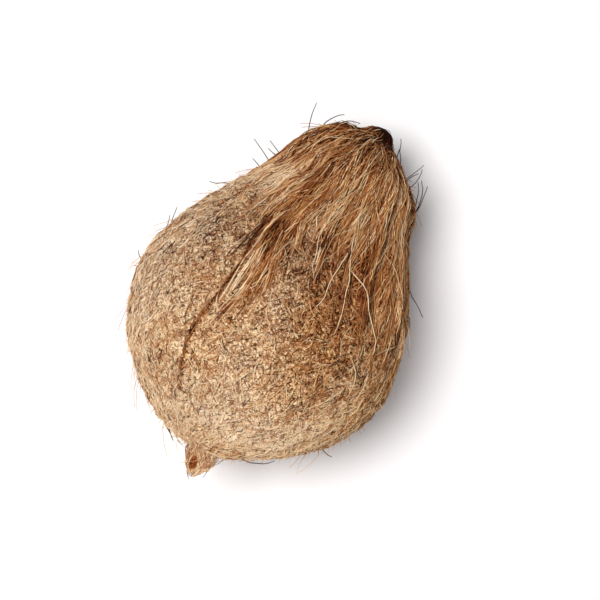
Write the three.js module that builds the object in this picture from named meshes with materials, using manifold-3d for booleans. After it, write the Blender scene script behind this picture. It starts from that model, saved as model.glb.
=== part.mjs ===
// A semi-husked coconut lying on its side: the round nut in its coat of coir, drawn out at the stem
// end into a blunt tuft whose fibres close on a dark, rounded knob. It grew as one piece, so it is
// one solid. Its own axis runs along +X, from the round end to the tip of the tuft, and dips a
// little towards the tip. The origin is the middle of the flat spot that it rests on. Lengths are
// in millimetres and +Z is up.
import * as THREE from "three";
import { mergeVertices } from "three/addons/utils/BufferGeometryUtils.js";
import Module from "manifold-3d";

const wasm = await Module();
wasm.setup();

// Driving dimensions
const LENGTH = 146; // from the round end to the tip, without the scrap of husk
const WIDTH = 109; // across the widest part
const PITCH = THREE.MathUtils.degToRad(6); // how far the tip dips below level
const AXIS_HEIGHT = 51.6; // of the axis over the table, above the origin
const REST_ALONG = 53.5; // from the round end to the point of the axis above the origin

// The outline from the round end to the tip, as shares of LENGTH and of half of WIDTH. The last
// six points are the knob.
const OUTLINE = [
  [0, 0],
  [0.01, 0.237],
  [0.037, 0.393],
  [0.09, 0.596],
  [0.17, 0.825],
  [0.25, 0.939],
  [0.357, 1],
  [0.464, 0.961],
  [0.57, 0.846],
  [0.677, 0.695],
  [0.757, 0.57],
  [0.822, 0.511],
  [0.864, 0.437],
  [0.917, 0.294],
  [0.952, 0.15],
  [0.962, 0.121],
  [0.974, 0.11],
  [0.988, 0.087],
  [0.997, 0.05],
  [1, 0],
];

// Relief of the coat. Angles round the nut are from its top towards +Y.
const LOBES = 3; // a coconut grows from three joined carpels
const FURROW_AT = THREE.MathUtils.degToRad(27); // of one of the furrows between the lobes
const LOBE_HEIGHT = 0.9;
const FURROW_DEPTH = 1.7;
const FURROW_HALF_ANGLE = 0.085;
const LUMP_HEIGHT = 0.55;
const LOCK_COUNTS = [13, 19, 27]; // fibre locks round the nut, laid over each other
const LOCK_HEIGHT = 0.6;
const APRON_HEIGHT = 1.2; // of the combed fibres of the tuft over the felt of the nut
const APRON_EDGE = 0.62; // share of the outline where they end, on average
const APRON_STEP = 0.035; // share of the outline over which they thin out
const FELT_HEIGHT = 0.4; // of the crumbly felt that covers the nut
const SHOULDER_HEIGHT = 2.4; // of the tuft's bulge on its +Y side
const PRESSED = 0.95; // share of the relief that is pressed away where the nut rests

// The mesh of the coat
const RINGS = 36;
const COLUMNS = 76;
const RING_CROWDING = 0.05; // of the rings towards the tip

// Strands of fibre
const STRAND_SIDES = 3;
const LYING_RADII = [0.6, 0.45]; // at the root and at the tip
const LYING_LIFT = 0.3; // of the middle of a lying strand over the coat
const LYING_STEPS = 6;
const LYING_COUNT = 21; // of those that are placed by rule
const LOOSE_RADII = [0.42, 0.3];
const LOOSE_STEPS = 3;
const LOOSE_COUNT = 72;
const ROOT_DEPTH = 1.5; // how far the ends of a strand are sunk in the coat
const FLOOR_GAP = 1.5; // the least height of a loose strand over the table
const GOLDEN_ANGLE = Math.PI * (3 - Math.sqrt(5));

// The boldest lying strands, each as points on the coat: the share of the outline and the angle
// round the nut in degrees
const BOLD_STRANDS = [
  [[0.64, 20], [0.53, 24], [0.47, 25.5], [0.37, 23]],
  [[0.86, -13], [0.75, 0], [0.69, 4.5], [0.59, 12.5], [0.51, 17], [0.44, 18.5]],
  [[0.8, -1], [0.72, 0], [0.62, 5]],
  [[0.7, -15.5], [0.58, -22], [0.53, -21], [0.44, -21]],
  [[0.61, -22], [0.55, -33], [0.51, -42], [0.47, -44]],
  [[0.64, -20], [0.55, -13], [0.48, -9]],
];

// The scrap of husk that is left at the round end, measured from that end of the axis
const SCRAP_LENGTH = 9.8;
const SCRAP_SIDE = -5; // from the axis, along Y
const SCRAP_HALF_WIDTH = 4.6;
const SCRAP_HALF_DEPTH = 3.2;
const SCRAP_ROOT = 5; // how far it is sunk in the nut

// Seeded random numbers from 0 to 1
function randomFrom(seed) {
  let state = seed;
  return () => {
    state = (state + 0x6d2b79f5) | 0;
    let mixed = Math.imul(state ^ (state >>> 15), 1 | state);
    mixed = (mixed + Math.imul(mixed ^ (mixed >>> 7), 61 | mixed)) ^ mixed;
    return ((mixed ^ (mixed >>> 14)) >>> 0) / 4294967296;
  };
}

// The outline as a smooth curve: x is the distance along the axis and y the radius
const outline = new THREE.SplineCurve(
  OUTLINE.map(([along, radius]) => new THREE.Vector2(along * LENGTH, (radius * WIDTH) / 2)),
);

// A point of the nut, given from the round end of its own axis, in the frame it rests in
function place(along, side, up) {
  return new THREE.Vector3(along - REST_ALONG, side, up)
    .applyAxisAngle(new THREE.Vector3(0, 1, 0), PITCH)
    .add(new THREE.Vector3(0, 0, AXIS_HEIGHT));
}

// How far the fibres have drifted round the nut at a share of the outline, in radians
function sway(share) {
  return 0.05 * Math.sin(9 * share + 0.8) + 0.03 * Math.sin(23 * share);
}

// The ragged share of the outline where the combed fibres of the tuft end at a flow. They reach
// furthest down beside the furrow on the top and on the -Y side.
function apronEdge(flow) {
  const ragged = 0.028 * Math.sin(17 * flow) + 0.022 * Math.sin(29 * flow + 1);
  const tongue = 0.2 * Math.exp(-(((flow - FURROW_AT + 0.16) / 0.15) ** 2));
  return APRON_EDGE + 0.1 * Math.sin(flow) + ragged - tongue;
}

// The height of the relief over the outline. A fibre keeps its flow, which is its angle round the
// nut without the sway.
function relief(share, flow) {
  const { smoothstep } = THREE.MathUtils;
  const ends = smoothstep(share, 0, 0.09) * smoothstep(1 - share, 0.03, 0.1);
  const period = (2 * Math.PI) / LOBES;
  const fromFurrow = flow - FURROW_AT - period * Math.round((flow - FURROW_AT) / period);
  const lobe = -LOBE_HEIGHT * Math.cos(LOBES * fromFurrow);
  const furrow =
    -FURROW_DEPTH *
    Math.exp(-((fromFurrow / FURROW_HALF_ANGLE) ** 2)) *
    smoothstep(share, 0.2, 0.45);
  const edge = apronEdge(flow);
  const apron = APRON_HEIGHT * (smoothstep(share, edge, edge + APRON_STEP) - 0.6);
  const lump =
    LUMP_HEIGHT *
    (Math.sin(2 * flow + 11 * share) * Math.sin(17 * share + 0.7) +
      0.6 * Math.sin(5 * flow - 14 * share + 2));
  const locks = LOCK_COUNTS.reduce(
    (sum, count, k) => sum + Math.cos(count * flow + 2.1 * k + 3 * k * share),
    0,
  );
  const lock = LOCK_HEIGHT * (0.28 + 0.72 * smoothstep(share, 0.42, 0.7)) * locks;
  const felt =
    FELT_HEIGHT *
    Math.sin(37 * flow + 6 * Math.sin(25 * share)) *
    Math.sin(61 * share + 3 * Math.sin(9 * flow));
  const shoulder = SHOULDER_HEIGHT * Math.exp(-(((share - 0.885) / 0.05) ** 2)) * Math.sin(flow);
  const fromRest = Math.PI - Math.abs(flow);
  const rest = Math.exp(-((fromRest / 0.6) ** 2) - ((share - 0.42) / 0.2) ** 2);
  const whole = lobe + furrow + apron + lump + lock + felt;
  return ends * whole * (1 - PRESSED * rest) + shoulder;
}

// The point of the coat at a share of the outline and a flow, raised off it by lift
function coatPoint(share, flow, lift = 0) {
  const at = outline.getPointAt(share);
  const heading = outline.getTangentAt(share);
  const height = relief(share, flow) + lift;
  const radius = at.y + heading.x * height;
  const around = flow + sway(share);
  return place(at.x - heading.y * height, radius * Math.sin(around), radius * Math.cos(around));
}

// A closed mesh of rings of points, each joined to the next, between a point at either end
function skinOf(rings, start, end) {
  const sides = rings[0].length;
  const last = rings.length * sides + 1;
  const indices = [];
  for (let side = 0; side < sides; side += 1) {
    const next = (side + 1) % sides;
    indices.push(0, 1 + next, 1 + side);
    for (let near = 1; near + sides < last; near += sides) {
      const far = near + sides;
      indices.push(near + side, near + next, far + next);
      indices.push(near + side, far + next, far + side);
    }
    indices.push(last - sides + side, last - sides + next, last);
  }
  const geometry = new THREE.BufferGeometry().setFromPoints([start, ...rings.flat(), end]);
  return geometry.setIndex(indices);
}

// The manifold solid of a closed geometry
function solidOf(geometry) {
  const bare = geometry.clone();
  bare.deleteAttribute("normal");
  bare.deleteAttribute("uv");
  const merged = mergeVertices(bare, 1e-5);
  return new wasm.Manifold(
    new wasm.Mesh({
      numProp: 3,
      vertProperties: merged.attributes.position.array,
      triVerts: new Uint32Array(merged.index.array),
    }),
  );
}

// The geometry of a manifold solid
function geometryOf(solid) {
  const { vertProperties, triVerts } = solid.getMesh();
  const geometry = new THREE.BufferGeometry();
  geometry.setAttribute("position", new THREE.BufferAttribute(vertProperties, 3));
  geometry.setIndex(new THREE.BufferAttribute(triVerts, 1));
  geometry.computeVertexNormals();
  return geometry;
}

// The coat of coir with its lobes, furrows, locks and knob
function coat() {
  const rings = [];
  for (let ring = 1; ring < RINGS; ring += 1) {
    const even = ring / RINGS;
    const crowded = 2 * Math.sin(Math.PI * even) - Math.sin(2 * Math.PI * even);
    const share = even + RING_CROWDING * crowded;
    rings.push(
      Array.from({ length: COLUMNS }, (_, column) => {
        const flow = Math.PI - (2 * Math.PI * column) / COLUMNS;
        return coatPoint(share, flow);
      }),
    );
  }
  return solidOf(skinOf(rings, coatPoint(0, 0), coatPoint(1, 0)));
}

// A tapered strand through points, from its root to its tip
function strand(points, steps, [rootRadius, tipRadius]) {
  const curve = new THREE.CatmullRomCurve3(points);
  const { normals, binormals } = curve.computeFrenetFrames(steps);
  const rings = normals.map((normal, step) => {
    const radius = THREE.MathUtils.lerp(rootRadius, tipRadius, step / steps);
    const middle = curve.getPointAt(step / steps);
    return Array.from({ length: STRAND_SIDES }, (_, side) => {
      const turn = (2 * Math.PI * side) / STRAND_SIDES;
      return middle
        .clone()
        .addScaledVector(normal, radius * Math.cos(turn))
        .addScaledVector(binormals[step], radius * Math.sin(turn));
    });
  });
  return solidOf(skinOf(rings, curve.getPointAt(0), curve.getPointAt(1)));
}

// A strand that lies on the coat along a path of points [share, flow], both its ends sunk
function lyingStrand(path) {
  const line = new THREE.CatmullRomCurve3(path.map(([share, flow]) => new THREE.Vector3(share, flow)));
  const points = Array.from({ length: LYING_STEPS + 1 }, (_, step) => {
    const { x: share, y: flow } = line.getPoint(step / LYING_STEPS);
    const isEnd = step === 0 || step === LYING_STEPS;
    return coatPoint(share, flow, isEnd ? -ROOT_DEPTH : LYING_LIFT);
  });
  return strand(points, LYING_STEPS, LYING_RADII);
}

// The lying strands: the bold ones, and those that hang out of the tuft all round and run out
// over the felt below its ragged edge
function lyingStrands() {
  const random = randomFrom(11);
  const bold = BOLD_STRANDS.map((path) =>
    path.map(([share, degrees]) => [share, THREE.MathUtils.degToRad(degrees)]),
  );
  const others = Array.from({ length: LYING_COUNT }, (_, k) => {
    const flow = (2 * Math.PI * (k + 0.8 * random())) / LYING_COUNT - Math.PI;
    const end = apronEdge(flow) - 0.02 - 0.12 * random();
    const span = 0.16 + 0.14 * random();
    const drift = 0.3 * (random() - 0.5);
    return [
      [end + span, flow],
      [end + span / 2, flow + drift / 4],
      [end, flow + drift],
    ];
  });
  return [...bold, ...others].map(lyingStrand);
}

// Loose strands that stand off the coat on all sides, longest round the tuft. One that would come
// near the table is left out.
function looseStrands() {
  const random = randomFrom(5);
  const strands = [];
  for (let k = 0; k < LOOSE_COUNT; k += 1) {
    const share = 0.05 + 0.9 * Math.sqrt((k + 0.5) / LOOSE_COUNT);
    const flow = k * GOLDEN_ANGLE;
    const foot = coatPoint(share, flow);
    const outward = coatPoint(share, flow, 1).sub(foot).normalize();
    const lying = coatPoint(share - 0.02, flow).sub(foot).normalize();
    lying.multiplyScalar(random() < 0.35 && share < 0.8 ? -1 : 1);
    const across = new THREE.Vector3().crossVectors(outward, lying);
    const length = (5 + 7 * random()) * (0.7 + share * share);
    const rise = length * (0.3 + 0.4 * random());
    const bend = length * 0.7 * (random() - 0.5);
    const points = Array.from({ length: LOOSE_STEPS + 1 }, (_, step) => {
      const part = step / LOOSE_STEPS;
      return foot
        .clone()
        .addScaledVector(outward, -ROOT_DEPTH + (ROOT_DEPTH + rise) * Math.sqrt(part))
        .addScaledVector(lying, length * part)
        .addScaledVector(across, bend * part * part);
    });
    if (Math.min(...points.map((point) => point.z)) > FLOOR_GAP) {
      strands.push(strand(points, LOOSE_STEPS, LOOSE_RADII));
    }
  }
  return strands;
}

// The scrap of husk: a flattened, ragged spout that narrows outwards to a torn point, with a small
// pocket open to the top and two bristles
function huskScrap() {
  const steps = 7;
  const sides = 12;
  const middleAt = (part) => [
    SCRAP_ROOT - (SCRAP_ROOT + SCRAP_LENGTH) * part,
    SCRAP_SIDE - 0.5 * part,
    1 + part,
  ];
  const rings = Array.from({ length: steps }, (_, step) => {
    const part = step / steps;
    const [along, side, up] = middleAt(part);
    const narrow = 1 - 0.1 * part - 0.7 * part ** 5;
    return Array.from({ length: sides }, (__, k) => {
      const turn = (-2 * Math.PI * k) / sides;
      const ragged = narrow * (1 + 0.12 * Math.sin(5 * turn + 4 * part));
      return place(
        along + part * Math.sin(2 * turn),
        side + SCRAP_HALF_WIDTH * ragged * Math.cos(turn),
        up + SCRAP_HALF_DEPTH * ragged * Math.sin(turn),
      );
    });
  });
  const spout = solidOf(skinOf(rings, place(...middleAt(0)), place(...middleAt(1))));
  const pocketMiddle = place(-4.2, SCRAP_SIDE + 1.6, 4.4);
  const pocket = new THREE.SphereGeometry(1, 10, 6)
    .scale(2.6, 1.5, 2)
    .rotateZ(-0.25)
    .translate(...pocketMiddle);
  const bristles = [
    [[-2, -3, 1.5], [-7, -2, 2.4], [-9.3, -4.2, 2.6], [-12.5, -7.3, 2]],
    [[0, -7.5, 1], [-3.5, -9.2, 2], [-6, -9.6, 2.2], [-8.2, -9, 2]],
  ].map((points) => strand(points.map((point) => place(...point)), LOOSE_STEPS, LOOSE_RADII));
  return wasm.Manifold.union([spout.subtract(solidOf(pocket)), ...bristles]);
}

// What lies below the table's top, where the husk is pressed flat
function belowTable() {
  const size = 3 * WIDTH;
  return solidOf(new THREE.BoxGeometry(size, size, size).translate(0, 0, -size / 2));
}

const husk = new THREE.MeshStandardMaterial({
  name: "coir",
  color: 0xa87c52,
  roughness: 0.95,
  metalness: 0,
});
const whole = wasm.Manifold.union([coat(), huskScrap(), ...lyingStrands(), ...looseStrands()]);
const [outermost] = whole
  .subtract(belowTable())
  .decompose()
  .sort((a, b) => b.volume() - a.volume()); // without the hollows that crossing strands close off
const mesh = new THREE.Mesh(geometryOf(outermost), husk);
mesh.name = "coconut";

const coconut = new THREE.Group();
coconut.add(mesh);

export default coconut;
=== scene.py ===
"""A semi-husked coconut: felted coir, a combed tuft, strands, stray hairs and a scrap of husk.

Lengths are worked out in millimetres, in the frame that the coconut rests in, and go into the
meshes in metres. A place on the coat is given by two numbers: its share of the outline, from 0
at the round end to 1 at the tip, and its flow, the angle round the nut that a fibre keeps.
"""

import logging
import math
from dataclasses import dataclass
from enum import Enum
from functools import cached_property

import bpy
import numpy as np
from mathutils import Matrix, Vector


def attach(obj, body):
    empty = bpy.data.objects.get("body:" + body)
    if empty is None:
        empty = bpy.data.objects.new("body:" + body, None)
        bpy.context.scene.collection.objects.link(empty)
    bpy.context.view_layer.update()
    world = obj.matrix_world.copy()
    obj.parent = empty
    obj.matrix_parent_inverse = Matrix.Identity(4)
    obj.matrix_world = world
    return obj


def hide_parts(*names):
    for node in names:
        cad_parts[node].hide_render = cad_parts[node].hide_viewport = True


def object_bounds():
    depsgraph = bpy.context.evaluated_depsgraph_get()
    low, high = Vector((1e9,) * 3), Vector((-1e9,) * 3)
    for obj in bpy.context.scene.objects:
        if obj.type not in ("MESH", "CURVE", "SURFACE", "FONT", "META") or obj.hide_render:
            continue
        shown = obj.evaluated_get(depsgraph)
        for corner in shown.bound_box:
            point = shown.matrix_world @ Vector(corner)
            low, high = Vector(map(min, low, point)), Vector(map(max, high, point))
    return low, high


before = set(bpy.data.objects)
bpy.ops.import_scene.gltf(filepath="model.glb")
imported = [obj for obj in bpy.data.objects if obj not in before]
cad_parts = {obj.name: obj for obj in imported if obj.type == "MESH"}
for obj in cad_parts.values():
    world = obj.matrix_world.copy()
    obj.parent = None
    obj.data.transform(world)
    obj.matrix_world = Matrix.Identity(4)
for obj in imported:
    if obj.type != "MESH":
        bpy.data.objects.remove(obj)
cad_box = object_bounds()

LOG = logging.getLogger("coconut")
MM = 0.001
FULL_TURN = 2 * math.pi
UV_MAP = "OFBake"
Rows = tuple[tuple[float, ...], ...]
HASH_PRIMES = np.array([73856093, 19349663, 83492791])
HASH_ROUNDS = ((15, 73244475), (13, 39916801))
SEED_PRIME = 97561


def smoothstep(value: np.ndarray, low: float | np.ndarray, high: float | np.ndarray) -> np.ndarray:
    """Rises smoothly from 0 at low to 1 at high.

    Args:
        value: the numbers to step.
        low: where the step begins.
        high: where it ends.

    Returns:
        3 t^2 - 2 t^3, with t the clamped share of the way from low to high.
    """
    part = np.clip((value - low) / (high - low), 0, 1)
    return part * part * (3 - 2 * part)


def bell(value: np.ndarray, middle: float | np.ndarray, spread: float) -> np.ndarray:
    """A bell-shaped weight: e to the power of minus the square of (value - middle) / spread."""
    return np.exp(-(((value - middle) / spread) ** 2))


def waves(rows: Rows, *places: np.ndarray) -> np.ndarray:
    """A sum of sines.

    Args:
        rows: the height and the phase of each sine, then its count for each of the places.
        *places: arrays that the counts multiply.

    Returns:
        The sum over the rows of height times the sine of counts times places plus phase.
    """
    return sum(
        height * np.sin(sum(count * place for count, place in zip(counts, places)) + phase)
        for height, phase, *counts in rows
    )


def unit(vectors: np.ndarray) -> np.ndarray:
    """The vectors of the last axis, each made one long."""
    return vectors / np.maximum(np.linalg.norm(vectors, axis=-1, keepdims=True), 1e-12)


def wrapped(angle: np.ndarray) -> np.ndarray:
    """The angle, moved by whole turns to between minus half a turn and half a turn."""
    return (angle + math.pi) % FULL_TURN - math.pi


def linear(red: int, green: int, blue: int) -> tuple[float, float, float, float]:
    """A screen colour of 0 to 255 as linear red, green, blue and alpha.

    Args:
        red: from 0 to 255.
        green: from 0 to 255.
        blue: from 0 to 255.

    Returns:
        The four numbers, from 0 to 1.
    """
    parts = [v / 255 for v in (red, green, blue)]
    straight = [p / 12.92 if p <= 0.04045 else ((p + 0.055) / 1.055) ** 2.4 for p in parts]
    return (*straight, 1.0)


def lattice_noise(points: np.ndarray, cell: float, seed: int) -> np.ndarray:
    """Smooth noise: a random number at each lattice corner, blended between the eight nearest.

    Args:
        points: places, with x, y and z on the last axis.
        cell: the lattice's spacing, in the units of points.
        seed: picks the pattern.

    Returns:
        One number from -1 to 1 for each place.
    """
    scaled = points / cell
    base = np.floor(scaled)
    part = scaled - base
    blend = part * part * (3 - 2 * part)
    corner = base.astype(np.int64)
    total = np.zeros(points.shape[:-1])
    for step in np.ndindex(2, 2, 2):
        mixed = np.bitwise_xor.reduce((corner + step) * HASH_PRIMES, axis=-1) ^ (seed * SEED_PRIME)
        for shift, factor in HASH_ROUNDS:
            mixed = ((mixed ^ (mixed >> shift)) & 0xFFFFFFFF) * factor
        value = ((mixed >> 8) & 0xFFFFFF) / 8388607.5 - 1
        near = np.where(step, blend, 1 - blend)
        total += near.prod(axis=-1) * value
    return total


def paired_noise(
    points: np.ndarray, cells: tuple[float, float], seed: int, second: float = 0.7
) -> np.ndarray:
    """Lattice noise of two cells, summed.

    Args:
        points: places, with x, y and z on the last axis.
        cells: the two spacings, in the units of points.
        seed: picks the first pattern. The second takes the next seed.
        second: the weight of the second.

    Returns:
        One number for each place.
    """
    small, large = cells
    return lattice_noise(points, small, seed) + second * lattice_noise(points, large, seed + 1)


def smooth_path(knots: np.ndarray, part: np.ndarray) -> np.ndarray:
    """A smooth curve through knots.

    Between two knots each coordinate is a cubic. Its slope at a knot is half the step from the
    knot before to the knot after.

    Args:
        knots: the points to pass through, one a row.
        part: how far along the curve, from 0 to 1, for each point wanted.

    Returns:
        The points, with part's shape and the knots' columns on a last axis.
    """
    last = len(knots) - 1
    place = np.clip(part * last, 0, last)
    near = np.minimum(place.astype(int), last - 1)
    t = (place - near)[..., None]
    before, start = knots[np.maximum(near - 1, 0)], knots[near]
    end, after = knots[near + 1], knots[np.minimum(near + 2, last)]
    leave, arrive = (end - before) / 2, (after - start) / 2
    cubic = 2 * start - 2 * end + leave + arrive
    square = 3 * end - 3 * start - 2 * leave - arrive
    return cubic * t**3 + square * t**2 + leave * t + start


def smooth_paths(lines: tuple[Rows, ...], part: np.ndarray) -> np.ndarray:
    """Smooth curves through several rows of knots, with the curves on a new first axis."""
    return np.array([smooth_path(np.array(knots), part) for knots in lines])


@dataclass(frozen=True)
class NutForm:
    """The form of the coat, by the same values and formulas as the CAD solid.

    Names that end in at or edge are shares of the outline, and names that end in height or depth
    are millimetres. A spread is a bell's, in shares or in radians. A fade is where a step begins
    and where it ends.
    """

    length: float = 146.0
    width: float = 109.0
    pitch: float = math.radians(6)
    axis_height: float = 51.6
    rest_along: float = 53.5
    outline: Rows = (
        (0, 0), (0.01, 0.237), (0.037, 0.393), (0.09, 0.596), (0.17, 0.825), (0.25, 0.939),
        (0.357, 1), (0.464, 0.961), (0.57, 0.846), (0.677, 0.695), (0.757, 0.57), (0.822, 0.511),
        (0.864, 0.437), (0.917, 0.294), (0.952, 0.15), (0.962, 0.121), (0.974, 0.11),
        (0.988, 0.087), (0.997, 0.05), (1, 0),
    )
    curve_steps: int = 200
    curve_delta: float = 1e-4
    share_delta: float = 0.004
    round_end_fade: tuple[float, float] = (0, 0.09)
    tip_fade: tuple[float, float] = (0.03, 0.1)
    sway_waves: Rows = ((0.05, 0.8, 9), (0.03, 0, 23))
    lobes: int = 3
    furrow_angle: float = math.radians(27)
    lobe_height: float = 0.9
    furrow_depth: float = 1.7
    furrow_half_angle: float = 0.085
    furrow_fade: tuple[float, float] = (0.2, 0.45)
    lump_height: float = 0.55
    lock_counts: tuple[int, ...] = (13, 19, 27)
    lock_height: float = 0.6
    lock_fade: tuple[float, float] = (0.42, 0.7)
    least_lock: float = 0.28
    apron_height: float = 1.2
    apron_edge: float = 0.62
    apron_tilt: float = 0.1
    apron_step: float = 0.035
    rag_waves: Rows = ((0.028, 0, 17), (0.022, 1, 29))
    combed_fade: tuple[float, float] = (-0.015, 0.02)
    covered_fade: tuple[float, float] = (-0.03, 0.09)
    tongue_angle: float = furrow_angle - 0.16
    tongue_spread: float = 0.15
    tongue_reach: float = 0.2
    felt_height: float = 0.4
    shoulder_height: float = 1.7
    shoulder_at: float = 0.885
    shoulder_spread: float = 0.05
    rest_at: float = 0.42
    rest_spreads: tuple[float, float] = (0.2, 0.6)
    pressed: float = 0.95
    ground_depth: float = 0.42
    flank_depth: float = 0.9
    flank_at: float = 0.68
    flank_spread: float = 0.13
    neck_height: float = 1.4
    neck_at: float = 0.952
    neck_spread: float = 0.018
    ridge_height: float = 0.28
    ridge_cells: tuple[float, float] = (1.5, 3.4)
    fine_fades: Rows = ((0, 0.04), (0, 0.08))
    fine_pressed: float = 0.8
    crumb_height: float = 0.14
    crumb_cells: tuple[float, float] = (1.7, 5.2)
    pit_depth: float = 0.25
    pit_cells: tuple[float, float] = (1.3, 3.1)
    pit_fade: tuple[float, float] = (0.35, 0.9)
    grain_stretch: float = 8.0
    least_girth: float = 3.0

    @cached_property
    def _knots(self) -> np.ndarray:
        """The outline's points as distance along the axis and radius, in millimetres."""
        return np.array(self.outline) * (self.length, self.width / 2)

    @cached_property
    def _lengths(self) -> np.ndarray:
        """The outline's length up to each of many equal steps of its curve parameter."""
        points = smooth_path(self._knots, np.linspace(0, 1, self.curve_steps + 1))
        return np.r_[0, np.cumsum(np.hypot(*np.diff(points, axis=0).T))]

    @property
    def outline_length(self) -> float:
        """The length of the outline from the round end to the tip."""
        return float(self._lengths[-1])

    def outline_at(self, share: np.ndarray) -> tuple[np.ndarray, np.ndarray]:
        """Points and headings of the outline.

        Args:
            share: the share of the outline's length, from 0 to 1.

        Returns:
            The points, as distance along the axis and radius, and the unit headings there.
        """
        steps = np.linspace(0, 1, self.curve_steps + 1)
        part = np.interp(share * self.outline_length, self._lengths, steps)
        delta = self.curve_delta
        ahead = smooth_path(self._knots, np.minimum(part + delta, 1))
        behind = smooth_path(self._knots, np.maximum(part - delta, 0))
        return smooth_path(self._knots, part), unit(ahead - behind)

    def girth(self, share: np.ndarray) -> np.ndarray:
        """The outline's radius at a share, and never under the least girth."""
        return np.maximum(self.outline_at(share)[0][..., 1], self.least_girth)

    def place(self, along: np.ndarray, side: np.ndarray, up: np.ndarray) -> np.ndarray:
        """Puts points of the nut into the frame it rests in.

        The nut's own axis is turned about Y, so that its tip dips by the pitch, and raised.

        Args:
            along: distance from the round end, along the axis.
            side: distance from the axis towards +Y.
            up: distance from the axis, upwards when the axis is level.

        Returns:
            x, y and z on a new last axis.
        """
        ahead, cos, sin = along - self.rest_along, math.cos(self.pitch), math.sin(self.pitch)
        x, z = ahead * cos + up * sin, self.axis_height - ahead * sin + up * cos
        return np.stack(np.broadcast_arrays(x, side, z), axis=-1)

    def sway(self, share: np.ndarray) -> np.ndarray:
        """How far the fibres have drifted round the nut: sines of the share."""
        return waves(self.sway_waves, share)

    def from_furrow(self, flow: np.ndarray) -> np.ndarray:
        """The angle from a flow to the nearest furrow between two lobes.

        Args:
            flow: the angle round the nut that a fibre keeps.

        Returns:
            The angle, from minus half a lobe to half a lobe.
        """
        period = FULL_TURN / self.lobes
        away = flow - self.furrow_angle
        return away - period * np.floor(away / period + 0.5)

    def apron(self, flow: np.ndarray) -> np.ndarray:
        """The ragged share of the outline where the combed fibres of the tuft end.

        The mean share, a slow sine that lowers it on the -Y side, two quick sines for the rags,
        and a bell-shaped tongue beside the top furrow.

        Args:
            flow: the angle round the nut that a fibre keeps.

        Returns:
            The share for each flow.
        """
        flow = wrapped(flow)
        ragged = waves(self.rag_waves, flow)
        tongue = self.tongue_reach * bell(flow, self.tongue_angle, self.tongue_spread)
        return self.apron_edge + self.apron_tilt * np.sin(flow) + ragged - tongue

    def combed(self, share: np.ndarray, flow: np.ndarray) -> np.ndarray:
        """Rises from 0 on the felt to 1 on the combed tuft."""
        edge, (low, high) = self.apron(flow), self.combed_fade
        return smoothstep(share, edge + low, edge + high)

    def covered(self, share: np.ndarray, flow: np.ndarray) -> np.ndarray:
        """Rises from 0 on the felt to 1 where the tuft's fibres lie close, more slowly."""
        edge, (low, high) = self.apron(flow), self.covered_fade
        return smoothstep(share, edge + low, edge + high)

    def relief(self, share: np.ndarray, flow: np.ndarray) -> np.ndarray:
        """The height of the relief over the outline.

        The sum of the lobes (a cosine round the nut), the furrows (bells), the apron (a step at
        its ragged edge), the lumps, the locks (cosines of three counts, high in the tuft) and the
        felt (a product of sines). It fades at both ends, is pressed away where the nut rests, and
        has the bell-shaped shoulder of the tuft added.

        Args:
            share: the share of the outline.
            flow: the angle round the nut that a fibre keeps.

        Returns:
            The height, in millimetres.
        """
        flow = wrapped(flow)
        ends = smoothstep(share, *self.round_end_fade) * smoothstep(1 - share, *self.tip_fade)
        away = self.from_furrow(flow)
        lobe = -self.lobe_height * np.cos(self.lobes * away)
        furrow = -self.furrow_depth * bell(away, 0, self.furrow_half_angle)
        furrow = furrow * smoothstep(share, *self.furrow_fade)
        edge = self.apron(flow)
        apron = self.apron_height * (smoothstep(share, edge, edge + self.apron_step) - 0.6)
        lump = self.lump_height * (
            np.sin(2 * flow + 11 * share) * np.sin(17 * share + 0.7)
            + 0.6 * np.sin(5 * flow - 14 * share + 2)
        )
        locks = sum(
            np.cos(count * flow + 2.1 * k + 3 * k * share)
            for k, count in enumerate(self.lock_counts)
        )
        grown = self.least_lock + (1 - self.least_lock) * smoothstep(share, *self.lock_fade)
        lock = self.lock_height * grown * locks
        felt = (
            self.felt_height
            * np.sin(37 * flow + 6 * np.sin(25 * share))
            * np.sin(61 * share + 3 * np.sin(9 * flow))
        )
        whole = lobe + furrow + apron + lump + lock + felt
        bulge = bell(share, self.shoulder_at, self.shoulder_spread)
        shoulder = self.shoulder_height * bulge * np.sin(flow)
        return ends * whole * (1 - self.pressed * self.rest(share, flow)) + shoulder

    def rest(self, share: np.ndarray, flow: np.ndarray) -> np.ndarray:
        """How far a place is pressed by the table: a bell along the nut and another round it.

        Args:
            share: the share of the outline.
            flow: the angle round the nut that a fibre keeps.

        Returns:
            From 0 where it is free to 1 at the middle of the flat spot.
        """
        from_rest = math.pi - np.abs(wrapped(flow))
        lengthwise, round_it = self.rest_spreads
        return bell(from_rest, 0, round_it) * bell(share, self.rest_at, lengthwise)

    def grain(self, share: np.ndarray, flow: np.ndarray) -> np.ndarray:
        """Places for patterns that run with the fibres, without a seam.

        Each flow is put on a circle as wide as the nut, and the way along the outline is pressed
        together by the stretch, so that a pattern on these places is long along the fibres.

        Args:
            share: the share of the outline.
            flow: the angle round the nut that a fibre keeps.

        Returns:
            x, y and z on a new last axis.
        """
        share, flow = np.broadcast_arrays(share, flow)
        radius, along = self.width / 2, share * self.outline_length / self.grain_stretch
        return np.stack([radius * np.cos(flow), radius * np.sin(flow), along], axis=-1)

    def pits(self, level: np.ndarray) -> np.ndarray:
        """Rises from 0 on the felt's level to 1 in its small pits.

        Args:
            level: points of the coat.

        Returns:
            Paired noise, cut off softly so that the pits are few and small.
        """
        return smoothstep(paired_noise(level, self.pit_cells, 5), *self.pit_fade)

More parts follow.
